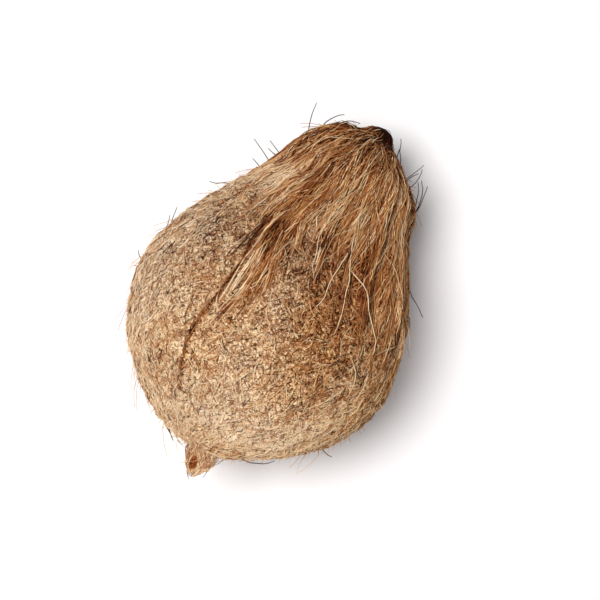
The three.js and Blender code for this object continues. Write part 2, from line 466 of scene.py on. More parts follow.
    def fine(self, share: np.ndarray, flow: np.ndarray) -> np.ndarray:
        """The fine relief: fibre ridges everywhere, and crumbs and pits below the apron.

        The ridges are paired noise in the grain, stronger in the tuft. Paired noise less the
        pits makes the crumbs. Both fade at the ends and where the nut rests.

        Args:
            share: the share of the outline.
            flow: the angle round the nut that a fibre keeps.

        Returns:
            The height, in millimetres.
        """
        ridges = paired_noise(self.grain(share, flow), self.ridge_cells, 1)
        combed = self.combed(share, flow)
        level = self.skin(share, flow, 0.0)
        crumbs = paired_noise(level, self.crumb_cells, 3, second=1.0)
        round_end, tip = self.fine_fades
        ends = smoothstep(share, *round_end) * smoothstep(1 - share, *tip)
        ridged = self.ridge_height * (0.4 + 1.1 * combed) * ridges
        felted = self.crumb_height * crumbs - self.pit_depth * self.pits(level)
        free = 1 - self.fine_pressed * self.rest(share, flow)
        return ends * (ridged + (1 - combed) * felted) * free

    def skin(self, share: np.ndarray, flow: np.ndarray, lift: float | np.ndarray) -> np.ndarray:
        """Points over the CAD solid's skin.

        A point of the outline moves along the outline's normal by the relief and the lift, and
        is then turned about the nut's axis by the flow and the sway.

        Args:
            share: the share of the outline.
            flow: the angle round the nut that a fibre keeps.
            lift: the height over the skin.

        Returns:
            x, y and z on a new last axis, in millimetres.
        """
        share, flow = np.broadcast_arrays(share, flow)
        share = np.clip(share, 0, 1)
        point, heading = self.outline_at(share)
        height = self.relief(share, flow) + lift
        radius = np.maximum(point[..., 1] + heading[..., 0] * height, 0)
        around = flow + self.sway(share)
        along = point[..., 0] - heading[..., 1] * height
        return self.place(along, radius * np.sin(around), radius * np.cos(around))

    def ground(self, share: np.ndarray, flow: np.ndarray, lift: float | np.ndarray) -> np.ndarray:
        """Points over the ground under the fibres, which lies below the skin and has fine relief.

        A bell lowers it further on the -Y flank of the tuft, and another fills the +Y side of
        the neck before the knob.

        Args:
            share: the share of the outline.
            flow: the angle round the nut that a fibre keeps.
            lift: the height over the ground.

        Returns:
            x, y and z on a new last axis, in millimetres.
        """
        flank = bell(share, self.flank_at, self.flank_spread) * np.maximum(-np.sin(flow), 0)
        neck = bell(share, self.neck_at, self.neck_spread) * np.maximum(np.sin(flow), 0)
        depth = self.ground_depth + self.flank_depth * flank - self.neck_height * neck
        return self.skin(share, flow, lift + self.fine(share, flow) - depth)

    def axes(self, share: np.ndarray, flow: np.ndarray) -> tuple[np.ndarray, ...]:
        """Unit directions on the coat: outwards, along the fibres to the round end, and across.

        Args:
            share: the share of the outline.
            flow: the angle round the nut that a fibre keeps.

        Returns:
            The three directions, each with x, y and z on a last axis.
        """
        foot = self.skin(share, flow, 0.0)
        outward = unit(self.skin(share, flow, 1.0) - foot)
        back = unit(self.skin(share - self.share_delta, flow, 0.0) - foot)
        return outward, back, unit(np.cross(outward, back))


@dataclass(frozen=True)
class Patch:
    """A soft patch that differs from the rest of the coat in tone, warmth and dark specks.

    Its middle is at a share of the outline and at a flow from the top, in degrees. Its spreads
    are in the same units, and the last three numbers are what it adds to each. A few patches are
    painted light or painted shade, as noted where they are listed, and the dark specks that a
    patch adds include painted shade in the pits.
    """

    share: float
    degrees: float
    share_spread: float
    degree_spread: float
    tone: float
    warmth: float = 0.0
    speckle: float = 0.0

    def weight(self, share: np.ndarray, flow: np.ndarray) -> np.ndarray:
        """A bell in the share and in the angle, 1 at the patch's middle."""
        away = np.degrees(wrapped(flow - math.radians(self.degrees)))
        return bell(share, self.share, self.share_spread) * bell(away, 0, self.degree_spread)


@dataclass(frozen=True)
class Colouring:
    """How pale (tone) and how warm each place of the husk is, from 0 to 1.

    A shade is what is taken off the tone at most. Under the tuft's fringe it is a painted shadow,
    and in the furrows and the pits it is painted shade. The knob's dark side leads the rest of it
    by a share of the outline.
    """

    form: NutForm
    felt_tone: float = 0.76
    comb_tone: float = 0.6
    felt_warmth: float = 0.64
    comb_warming: float = 0.3
    mottle_cells: tuple[int, ...] = (14, 6, 2)
    mottle_tones: tuple[float, ...] = (0.07, 0.05, 0.06)
    mottle_warmth: float = 0.15
    hue_cell: float = 17
    hue_spread: float = 0.3
    # Painted shadow that the tuft's fringe casts on the felt just below the apron's edge.
    fringe_painted_shadow: float = 0.1
    fringe_before: float = 0.035
    fringe_spread: float = 0.03
    # Painted shade in the creases of the furrows between the lobes.
    furrow_painted_shade: float = 0.6
    furrow_spread: float = 0.016
    furrow_fades: Rows = ((0.16, 0.27), (0.6, 0.75))
    streak_shade: float = 0.17
    streak_cells: tuple[float, float] = (1.6, 3.7)
    # Painted shade in the felt's small pits, as a share of the tone.
    pit_painted_shade: float = 0.9
    speckle: float = 0.2
    knob_at: float = 0.955
    knob_fade: float = 0.04
    knob_lead: float = 0.07
    knob_lead_angle: float = -0.6
    knob_lead_spread: float = 0.9
    knob_shade: float = 0.6
    patches: tuple[Patch, ...] = (
        # Painted light: the round end made paler for the light that the white table throws back on
        # it.
        Patch(0.08, 0, 0.14, 120, 0.13, -0.1),
        # Painted light: the -Y side near the round end made paler for the table's bounced light.
        Patch(0.25, -54, 0.1, 26, 0.2, -0.05),
        Patch(0.42, -58, 0.12, 22, 0.0, 0.5),
        Patch(0.32, 62, 0.1, 20, 0.1, -0.15),
        Patch(0.34, 40, 0.12, 24, 0.0, 0.1),
        Patch(0.5, 66, 0.2, 28, 0.05, -0.3),
        Patch(0.56, 46, 0.09, 18, -0.1, 0.0, 0.7),
        Patch(0.7, 46, 0.035, 20, 0.2, -0.5),
        # Painted shade along the fold beside the tongue of the tuft.
        Patch(0.62, 22, 0.12, 8, -0.08, 0.15),
        # Darker felt below the tuft's fringe: partly its own reddish brown, partly painted shade
        # under the fringe.
        Patch(0.53, -12, 0.1, 28, -0.25, 0.0, 0.5),
        Patch(0.6, -24, 0.06, 18, -0.12, 0.1, 0.3),
        Patch(0.41, -22, 0.1, 18, -0.16, 0.3, 0.2),
        Patch(0.385, 10, 0.05, 12, -0.12, 0.1),
        Patch(0.44, 44, 0.05, 14, -0.12, 0.1),
        # Painted light: low on the -Y side near the round end, paler for the table's bounced
        # light.
        Patch(0.24, -60, 0.07, 18, 0.14),
        Patch(0.66, -66, 0.16, 26, 0.12, 0.2),
        Patch(0.86, 10, 0.07, 60, -0.1, 0.1),
        Patch(0.6, 150, 0.12, 40, -0.14, 0.1),
        Patch(0.62, -140, 0.1, 30, -0.14, 0.1),
        Patch(0.68, 100, 0.05, 20, 0.12, -0.3),
    )

    def knob(self, share: np.ndarray, flow: np.ndarray) -> np.ndarray:
        """How dark the knob is, from 0 to 1. Its dark side starts further back, by a bell.

        Args:
            share: the share of the outline.
            flow: the angle round the nut that a fibre keeps.

        Returns:
            The darkness, which rises as a step from its start.
        """
        side = bell(wrapped(flow - self.knob_lead_angle), 0, self.knob_lead_spread)
        start = self.knob_at - self.knob_lead * side
        return smoothstep(share, start, start + self.knob_fade)

    def speckled(self, share: np.ndarray, flow: np.ndarray) -> np.ndarray:
        """How much the dark specks and the pits' painted shade show: a little everywhere, more in
        some patches.
        """
        return self.speckle + sum(p.speckle * p.weight(share, flow) for p in self.patches)

    def at(self, share: np.ndarray, flow: np.ndarray) -> tuple[np.ndarray, np.ndarray]:
        """The tone and the warmth of places on the coat.

        The felt is paler than the combed tuft. The patches add their bells, a few of them painted
        light or painted shade, and lattice noise of three sizes mottles both. A bell just below
        the apron's edge is a painted shadow of the tuft's fringe, bells in the furrows are painted
        shade in their creases, and the pits are darker as painted shade in their hollows. The knob
        is darker. Paired noise in the grain streaks the tuft.

        Args:
            share: the share of the outline.
            flow: the angle round the nut that a fibre keeps.

        Returns:
            The tones and the warmths.
        """
        combed = self.form.covered(share, flow)
        tone = self.felt_tone + (self.comb_tone - self.felt_tone) * combed
        warmth = self.felt_warmth + self.comb_warming * combed
        for patch in self.patches:
            weight = patch.weight(share, flow)
            tone = tone + patch.tone * weight
            warmth = warmth + patch.warmth * weight
        level = self.form.skin(share, flow, 0.0)
        mottle = [lattice_noise(level, cell, 20 + cell) for cell in self.mottle_cells]
        for strength, noise in zip(self.mottle_tones, mottle):
            tone = tone + strength * noise
        warmth = warmth + self.hue_spread * lattice_noise(level, self.hue_cell, 31)
        warmth = warmth + self.mottle_warmth * mottle[1]
        # Painted shadow under the tuft's fringe: a bell just below the apron's edge.
        fringe = bell(share - self.form.apron(flow), -self.fringe_before, self.fringe_spread)
        # Painted shade in the furrows' creases: a thin bell along each, faded in and out along the
        # nut.
        furrow = bell(self.form.from_furrow(flow), 0, self.furrow_spread)
        rise, fall = self.furrow_fades
        furrow = furrow * smoothstep(share, *rise) * (1 - smoothstep(share, *fall))
        tone = tone - self.fringe_painted_shadow * fringe - self.furrow_painted_shade * furrow
        streaks = paired_noise(self.form.grain(share, flow), self.streak_cells, 34)
        tone = tone + self.streak_shade * combed * streaks
        # The pits are darker: painted shade in the felt's small hollows, more in the speckled
        # patches.
        specks = self.form.pits(level) * (1 - combed) * self.speckled(share, flow)
        tone = tone - self.pit_painted_shade * specks * tone
        tone = tone * (1 - self.knob_shade * self.knob(share, flow))
        return np.clip(tone, 0, 1), np.clip(warmth, 0, 1)


class NodeSheet:
    """A node tree with short ways to add nodes and to join them."""

    def __init__(self, tree: bpy.types.NodeTree) -> None:
        """Empties the tree."""
        self.tree = tree
        tree.nodes.clear()

    def add(self, kind: str, **inputs: object) -> bpy.types.Node:
        """Adds a node.

        Args:
            kind: the node's type, such as ShaderNodeMath.
            **inputs: values by input name, with _ for a space, or sockets to link from.

        Returns:
            The node.
        """
        node = self.tree.nodes.new(kind)
        for name, value in inputs.items():
            self.set(node, name.replace("_", " "), value)
        return node

    def set(self, node: bpy.types.Node, name: str | int, value: object) -> None:
        """Sets an input of a node to a value, or links it from a socket.

        Args:
            node: the node.
            name: the input's name or number.
            value: a value, or a socket to link from.
        """
        if isinstance(value, bpy.types.NodeSocket):
            self.tree.links.new(value, node.inputs[name])
        else:
            node.inputs[name].default_value = value

    def math(self, operation: str, *values: object) -> bpy.types.NodeSocket:
        """The result of a Math node on up to three values or sockets.

        Args:
            operation: the node's operation, such as ADD.
            *values: up to three values or sockets.

        Returns:
            The result's socket.
        """
        node = self.tree.nodes.new("ShaderNodeMath")
        node.operation = operation
        for index, value in enumerate(values):
            self.set(node, index, value)
        return node.outputs[0]

    def attribute(self, name: str) -> bpy.types.NodeSocket:
        """The vector of a mesh attribute.

        Args:
            name: the attribute's name.

        Returns:
            The vector's socket.
        """
        node = self.add("ShaderNodeAttribute")
        node.attribute_name = name
        return node.outputs["Vector"]

    def mix(self, factor: object, low: object, high: object) -> bpy.types.NodeSocket:
        """The blend of two numbers or sockets by a factor."""
        return self.add("ShaderNodeMix", Factor=factor, A=low, B=high).outputs["Result"]

    def ramp(
        self, factor: bpy.types.NodeSocket, stops: dict[float, tuple]
    ) -> bpy.types.NodeSocket:
        """The colour of a Color Ramp with these stops at a factor.

        Args:
            factor: the socket to read.
            stops: the colour at each position, in rising order.

        Returns:
            The colour's socket.
        """
        node = self.add("ShaderNodeValToRGB", Fac=factor)
        elements = node.color_ramp.elements
        while len(elements) < len(stops):
            elements.new(1.0)
        for element, (position, colour) in zip(elements, stops.items()):
            element.position = position
            element.color = colour
        return node.outputs["Color"]


@dataclass(frozen=True)
class CoirShading:
    """The shader groups that the finishes of the husk share."""

    warm: tuple[tuple[int, int, int], ...] = (
        (27, 9, 2),
        (82, 35, 12),
        (140, 75, 37),
        (184, 114, 62),
        (212, 156, 94),
        (246, 216, 170),
    )
    grey: tuple[tuple[int, int, int], ...] = (
        (30, 12, 6),
        (82, 42, 23),
        (128, 86, 61),
        (168, 127, 95),
        (202, 168, 134),
        (248, 228, 202),
    )
    fine_scale: float = 1500.0
    broad_scale: float = 850.0
    cell_scale: float = 1250.0
    weights: tuple[float, float, float] = (0.55, 0.35, 0.1)
    pit_range: tuple[float, float] = (0.36, 0.5)
    pit_floor: float = 0.35

    @staticmethod
    def stops(colours: tuple[tuple[int, int, int], ...]) -> dict[float, tuple]:
        """The colours as evenly spaced ramp stops."""
        last = len(colours) - 1
        return {k / last: linear(*colour) for k, colour in enumerate(colours)}

    @staticmethod
    def new_group(name: str, inputs: dict[str, str], outputs: dict[str, str]) -> NodeSheet:
        """Makes an empty shader group.

        Args:
            name: its name.
            inputs: the kind of each input socket, by name.
            outputs: the kind of each output socket, by name.

        Returns:
            The sheet of its node tree.
        """
        tree = bpy.data.node_groups.new(name, "ShaderNodeTree")
        for side, sockets in (("INPUT", inputs), ("OUTPUT", outputs)):
            for label, kind in sockets.items():
                tree.interface.new_socket(label, in_out=side, socket_type=f"NodeSocket{kind}")
        return NodeSheet(tree)

    @cached_property
    def colour(self) -> bpy.types.NodeTree:
        """The group that turns a tone and a warmth into a colour.

        Returns:
            The group's node tree.
        """
        inputs = {"Tone": "Float", "Warmth": "Float"}
        sheet = self.new_group("coir_colour", inputs, {"Colour": "Color"})
        given = sheet.add("NodeGroupInput")
        mix = sheet.add("ShaderNodeMix")
        mix.data_type = "RGBA"
        sheet.set(mix, 0, given.outputs["Warmth"])
        sheet.set(mix, 6, sheet.ramp(given.outputs["Tone"], self.stops(self.grey)))
        sheet.set(mix, 7, sheet.ramp(given.outputs["Tone"], self.stops(self.warm)))
        sheet.add("NodeGroupOutput", Colour=mix.outputs[2])
        return sheet.tree

    @cached_property
    def crumbs(self) -> bpy.types.NodeTree:
        """The group that gives the height of matted crumbs, from 0 in a pit to 1.

        Wavy noise of two sizes is added by its weight to cells that rise to their middles, and
        the lowest places are cut down further as pits. The scales are crumbs to the metre.

        Returns:
            The group's node tree.
        """
        sheet = self.new_group("felt_crumbs", {"Vector": "Vector"}, {"Height": "Float"})
        places = sheet.add("NodeGroupInput").outputs["Vector"]
        noise = "ShaderNodeTexNoise"
        fine = sheet.add(noise, Vector=places, Scale=self.fine_scale, Detail=2.0, Distortion=3.0)
        broad = sheet.add(noise, Vector=places, Scale=self.broad_scale, Detail=3.0)
        cells = sheet.add("ShaderNodeTexVoronoi", Vector=places, Scale=self.cell_scale)
        domes = sheet.math("SUBTRACT", 1.0, cells.outputs["Distance"])
        height = sheet.math("MULTIPLY", fine.outputs["Fac"], self.weights[0])
        height = sheet.math("MULTIPLY_ADD", broad.outputs["Fac"], self.weights[1], height)
        height = sheet.math("MULTIPLY_ADD", domes, self.weights[2], height)
        bottom, brim = self.pit_range
        pit = sheet.add("ShaderNodeMapRange", Value=height, From_Min=bottom, From_Max=brim)
        pit.interpolation_type = "SMOOTHSTEP"
        left = sheet.math("ADD", pit.outputs[0], self.pit_floor)
        lowered = sheet.math("MULTIPLY", height, left)
        sheet.add("NodeGroupOutput", Height=lowered)
        return sheet.tree


@dataclass(frozen=True)
class Finish:
    """What every finish of the husk has: a name, the shared shading and a dull gloss."""

    name: str
    shading: CoirShading
    roughness: float = 0.8
    specular: float = 0.06

    def start(self) -> tuple[bpy.types.Material, NodeSheet, bpy.types.Node, bpy.types.Node]:
        """Makes the material with its shader and its colour group.

        Returns:
            The material, its sheet of nodes, the Principled BSDF and the colour group's node.
        """
        material = bpy.data.materials.new(self.name)
        material.use_nodes = True
        sheet = NodeSheet(material.node_tree)
        shader = sheet.add("ShaderNodeBsdfPrincipled", Roughness=self.roughness)
        shader.inputs["Specular IOR Level"].default_value = self.specular
        colour = sheet.add("ShaderNodeGroup")
        colour.node_tree = self.shading.colour
        sheet.set(shader, "Base Color", colour.outputs["Colour"])
        sheet.add("ShaderNodeOutputMaterial", Surface=shader.outputs["BSDF"])
        return material, sheet, shader, colour


@dataclass(frozen=True)
class FibreFinish(Finish):
    """The finish of single fibres. Their own UV map holds tone across and warmth up."""

    def material(self) -> bpy.types.Material:
        """Makes the material.

        Returns:
            The material.
        """
        material, sheet, _, colour = self.start()
        places = sheet.add("ShaderNodeUVMap")
        places.uv_map = UV_MAP
        parts = sheet.add("ShaderNodeSeparateXYZ", Vector=places.outputs["UV"])
        sheet.set(colour, "Tone", parts.outputs["X"])
        sheet.set(colour, "Warmth", parts.outputs["Y"])
        return material


@dataclass(frozen=True)
class GroundFinish(Finish):
    """The finish under the fibres: matted crumbs on the felt, streaks where it is combed."""

    contrast: float = 2.2
    mean_height: float = 0.52
    streak_scale: float = 1.2
    bump_mm: float = 0.5
    bump_strength: float = 0.9

    def material(self) -> bpy.types.Material:
        """Makes the material.

        The hue attribute holds the tone, the warmth and how combed the place is. The crumbs, on
        the object's own places, give way to streaks, which are noise on the grain places, as the
        ground gets combed. Their height raises the bump and varies the tone: low places and pits
        come out darker and high ones paler, partly as the felt's own mottling and partly as
        painted shade in the hollows.

        Returns:
            The material.
        """
        material, sheet, shader, colour = self.start()
        hue = sheet.add("ShaderNodeSeparateXYZ", Vector=sheet.attribute("hue"))
        tone, warmth, combed = (hue.outputs[axis] for axis in "XYZ")
        grain = sheet.attribute("grain")
        streaks = sheet.add(
            "ShaderNodeTexNoise", Vector=grain, Scale=self.streak_scale, Detail=4.0
        )
        crumbs = sheet.add("ShaderNodeGroup")
        crumbs.node_tree = self.shading.crumbs
        sheet.set(crumbs, "Vector", sheet.add("ShaderNodeTexCoord").outputs["Object"])
        height = sheet.mix(combed, crumbs.outputs["Height"], streaks.outputs["Fac"])
        # Tone follows the height: low places and pits darker, partly mottling and partly painted
        # shade in the hollows.
        varied = sheet.math("SUBTRACT", height, self.mean_height)
        sheet.set(colour, "Tone", sheet.math("MULTIPLY_ADD", varied, self.contrast, tone))
        sheet.set(colour, "Warmth", warmth)
        bump = sheet.add("ShaderNodeBump", Height=height, Distance=self.bump_mm * MM)
        sheet.set(bump, "Strength", self.bump_strength)
        sheet.set(shader, "Normal", bump.outputs["Normal"])
        return material


@dataclass
class MeshParts:
    """Arrays for one mesh: its points, its four-sided and three-sided faces and their map."""

    points: np.ndarray
    quads: np.ndarray
    triangles: np.ndarray
    quad_map: np.ndarray
    triangle_map: np.ndarray

    def mesh(self, name: str) -> bpy.types.Mesh:
        """Makes the mesh, in metres, with its map.

        Args:
            name: the mesh's name.

        Returns:
            The mesh, with smooth faces.
        """
        mesh = bpy.data.meshes.new(name)
        corners = np.r_[self.quads.ravel(), self.triangles.ravel()].astype(np.int32)
        four = 4 * np.arange(len(self.quads))
        three = 4 * len(self.quads) + 3 * np.arange(len(self.triangles))
        mesh.vertices.add(len(self.points))
        mesh.vertices.foreach_set("co", (self.points * MM).astype(np.float32).ravel())
        mesh.loops.add(len(corners))
        mesh.loops.foreach_set("vertex_index", corners)
        mesh.polygons.add(len(four) + len(three))
        mesh.polygons.foreach_set("loop_start", np.r_[four, three].astype(np.int32))
        layer = mesh.uv_layers.new(name=UV_MAP)
        places = np.r_[self.quad_map.reshape(-1, 2), self.triangle_map.reshape(-1, 2)]
        layer.uv.foreach_set("vector", places.astype(np.float32).ravel())
        mesh.update(calc_edges=True)
        mesh.shade_smooth()
        return mesh

    def piece(self, name: str, material: bpy.types.Material) -> bpy.types.Object:
        """Makes an object that rides on the nut.

        Args:
            name: its name.
            material: its finish.

        Returns:
            The object, linked to the scene.
        """
        piece = bpy.data.objects.new(name, self.mesh(name))
        piece.data.materials.append(material)
        bpy.context.scene.collection.objects.link(piece)
        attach(piece, "root")
        return piece


def skin_parts(rings: np.ndarray, start: np.ndarray, end: np.ndarray) -> MeshParts:
    """Joins rings of points into one closed skin.

    Args:
        rings: points by ring and by side, going round clockwise as seen from the start.
        start: the point that closes the first ring.
        end: the point that closes the last ring.

    Returns:
        The skin. Its map has the way round across and the way along up.
    """
    count, sides = rings.shape[:2]
    side = np.arange(sides)
    after = (side + 1) % sides
    ring = 1 + sides * np.arange(count - 1)[:, None]
    quads = np.stack([ring + side, ring + after, ring + sides + after, ring + sides + side], -1)
    last = count * sides + 1
    top = last - sides
    zero = 0 * side
    triangles = [
        np.stack([zero, 1 + after, 1 + side], -1),
        np.stack([top + side, top + after, zero + last], -1),
    ]
    left, right = side / sides, (side + 1) / sides
    middle = (left + right) / 2
    low = (np.arange(1, count) / (count + 1))[:, None]
    high = low + 1 / (count + 1)
    first, final = zero + 1 / (count + 1), zero + count / (count + 1)
    triangle_map = [
        stack_pairs((middle, zero), (right, first), (left, first)),
        stack_pairs((left, final), (right, final), (middle, zero + 1.0)),
    ]
    return MeshParts(
        np.vstack([start, rings.reshape(-1, 3), end]),
        quads.reshape(-1, 4),
        np.vstack(triangles),
        stack_pairs((left, low), (right, low), (right, high), (left, high)).reshape(-1, 4, 2),
        np.vstack(triangle_map),
    )


def stack_pairs(*pairs: tuple[np.ndarray, np.ndarray]) -> np.ndarray:
    """Pairs of arrays as corners and coordinates on two new last axes."""
    return np.stack([np.stack(np.broadcast_arrays(*pair), -1) for pair in pairs], -2)


def dress(piece: bpy.types.Object, hue: np.ndarray, grain: np.ndarray) -> None:
    """Gives each point of a piece of ground its hue and its place in the grain.

    Args:
        piece: the piece.
        hue: tone, warmth and how combed it is, for each point.
        grain: the place in the grain, for each point.
    """
    for name, values in (("hue", hue), ("grain", grain)):
        layer = piece.data.attributes.new(name, "FLOAT_VECTOR", "POINT")
        layer.data.foreach_set("vector", values.astype(np.float32).ravel())


@dataclass
class Ground:
    """The ground of matted coir under the fibres, which stands for the CAD solid; darker as
    painted shade.
    """

    form: NutForm
    colouring: Colouring
    finish: GroundFinish
    rings: int = 226
    columns: int = 368
    # Painted shade between the fibres: how much darker the ground is than the coat, on the felt
    # and under the combed tuft.
    felt_painted_shade: float = 0.16
    comb_painted_shade: float = 0.44
    knob_shade: float = 0.8

    def build(self) -> None:
        """Builds the ground on a grid of shares and flows, flat where it rests."""
        share = (np.arange(1, self.rings) / self.rings)[:, None]
        flow = math.pi - FULL_TURN * np.arange(self.columns) / self.columns
        points = self.form.ground(share, flow, 0.0)
        points[..., 2] = np.maximum(points[..., 2], 0)
        ends = [self.form.ground(np.array(s), np.array(0.0), 0.0) for s in (0.0, 1.0)]
        piece = skin_parts(points, *ends).piece("ground", self.finish.material())
        share, flow = (a.ravel() for a in np.broadcast_arrays(share, flow))
        share, flow = np.r_[0, share, 1], np.r_[0, flow, 0]
        tone, warmth = self.colouring.at(share, flow)
        combed = self.form.covered(share, flow)
        # Painted shade in the gaps between the fibres, deeper under the combed tuft.
        shade = self.felt_painted_shade + (self.comb_painted_shade - self.felt_painted_shade) * combed
        tone = (tone - shade) * (1 - self.knob_shade * self.colouring.knob(share, flow))
        hue = np.stack([tone, warmth, combed], -1)
        dress(piece, hue, self.form.grain(share, flow))
        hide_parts("coconut")
        LOG.info("ground: %d faces", len(piece.data.polygons))


@dataclass
class Bundle:
    """A bundle of tapered fibres: points, radius, tone and warmth along the path of each."""

    paths: np.ndarray
    radii: np.ndarray
    tone: np.ndarray
    warmth: np.ndarray
    sides: int = 3
    map_width: float = 0.006
    tone_range: tuple[float, float] = (0.01, 0.98)
    warmth_range: tuple[float, float] = (0.01, 0.97)

    @classmethod
    def even(
        cls, paths: np.ndarray, radius: float, loss: float, tone: np.ndarray, warmth: float
    ) -> "Bundle":
        """A bundle of fibres that are all as thick as each other.

        Args:
            paths: the points of each.
            radius: the radius at the start.
            loss: the share of it that is lost, evenly, by the end.
            tone: the tone, for all, for each fibre or for each point.
            warmth: the warmth.

        Returns:
            The bundle.
        """
        number, steps = paths.shape[:2]
        radii = radius * (1 - loss * np.linspace(0, 1, steps))
        shape = (number, steps)
        radii, tone = np.broadcast_to(radii, shape), np.broadcast_to(tone, shape)
        return cls(paths, radii, tone, np.full(number, warmth))

    def inside(self, low: np.ndarray, high: np.ndarray) -> "Bundle":
        """The fibres that stay between two corners, thickness included.

        Args:
            low: the lowest corner, in millimetres.
            high: the highest corner.

        Returns:
            A bundle of those fibres.
        """
        margin = self.radii[..., None]
        fits = (self.paths - margin > low).all((1, 2)) & (self.paths + margin < high).all((1, 2))
        return Bundle(self.paths[fits], self.radii[fits], self.tone[fits], self.warmth[fits])

    def parts(self) -> MeshParts:
        """Carries a ring of points along each path, and closes both ends.

        A ring's two directions are kept square to the path by taking out of the last ring's
        first direction what points along the path, so that a fibre doesn't twist.

        Returns:
            The arrays of one mesh with all the fibres.
        """
        count, steps = self.paths.shape[:2]
        along = unit(np.gradient(self.paths, axis=1))
        first = np.empty_like(along)
        least = np.eye(3)[np.abs(along[:, 0]).argmin(-1)]
        first[:, 0] = unit(np.cross(along[:, 0], least))
        for step in range(1, steps):
            onto = (first[:, step - 1] * along[:, step]).sum(-1, keepdims=True)
            first[:, step] = unit(first[:, step - 1] - onto * along[:, step])
        second = np.cross(along, first)
        turn = (FULL_TURN * np.arange(self.sides) / self.sides)[:, None]
        ring = first[:, :, None] * np.cos(turn) + second[:, :, None] * np.sin(turn)
        points = self.paths[:, :, None] + ring * self.radii[:, :, None, None]
        side = np.arange(self.sides)
        after = (side + 1) % self.sides
        fibre = steps * self.sides * np.arange(count)[:, None]
        near = fibre[..., None] + (self.sides * np.arange(steps - 1))[:, None]
        far = near + self.sides
        quads = np.stack([near + side, near + after, far + after, far + side], -1)
        end = fibre + (steps - 1) * self.sides
        caps = np.stack([fibre + [2, 1, 0], end + [0, 1, 2]], 1)
        return MeshParts(
            points.reshape(-1, 3), quads.reshape(-1, 4), caps.reshape(-1, 3), *self.maps()
        )

    def maps(self) -> tuple[np.ndarray, np.ndarray]:
        """The map's places: tone across and warmth up, with a little width round the fibre.

        Returns:
            The places of the four-sided faces' corners and of the end caps' corners.
        """
        across = np.clip(self.tone, *self.tone_range)[..., None]
        rise = np.clip(self.warmth, *self.warmth_range)[:, None, None]
        rise = rise + self.map_width * np.arange(self.sides + 1)
        near, far = across[:, :-1], across[:, 1:]
        left, right = rise[..., :-1], rise[..., 1:]
        quad_map = stack_pairs((near, left), (near, right), (far, right), (far, left))
        cap_across = across[:, [0, -1]] + self.map_width * np.array([0, 1, 0.5])
        cap_rise = rise[..., :1] + self.map_width * np.array([0, 0, 1])
        cap_map = np.stack(np.broadcast_arrays(cap_across, cap_rise), -1)
        return quad_map.reshape(-1, 4, 2), cap_map.reshape(-1, 3, 2)


@dataclass(frozen=True)
class Layer:
    """One layer of lying fibres: how many, and how long, thick, high, crooked and varied."""

    name: str
    seed: int
    count: int
    steps: int
    length: tuple[float, float]
    radius: tuple[float, float]
    rise: tuple[float, float]
    slant: float
    curl: float
    tone_shift: float = 0.0
    tone_spread: float = 0.12
    drift: float = 0.0
    speck_shade: float = 0.0


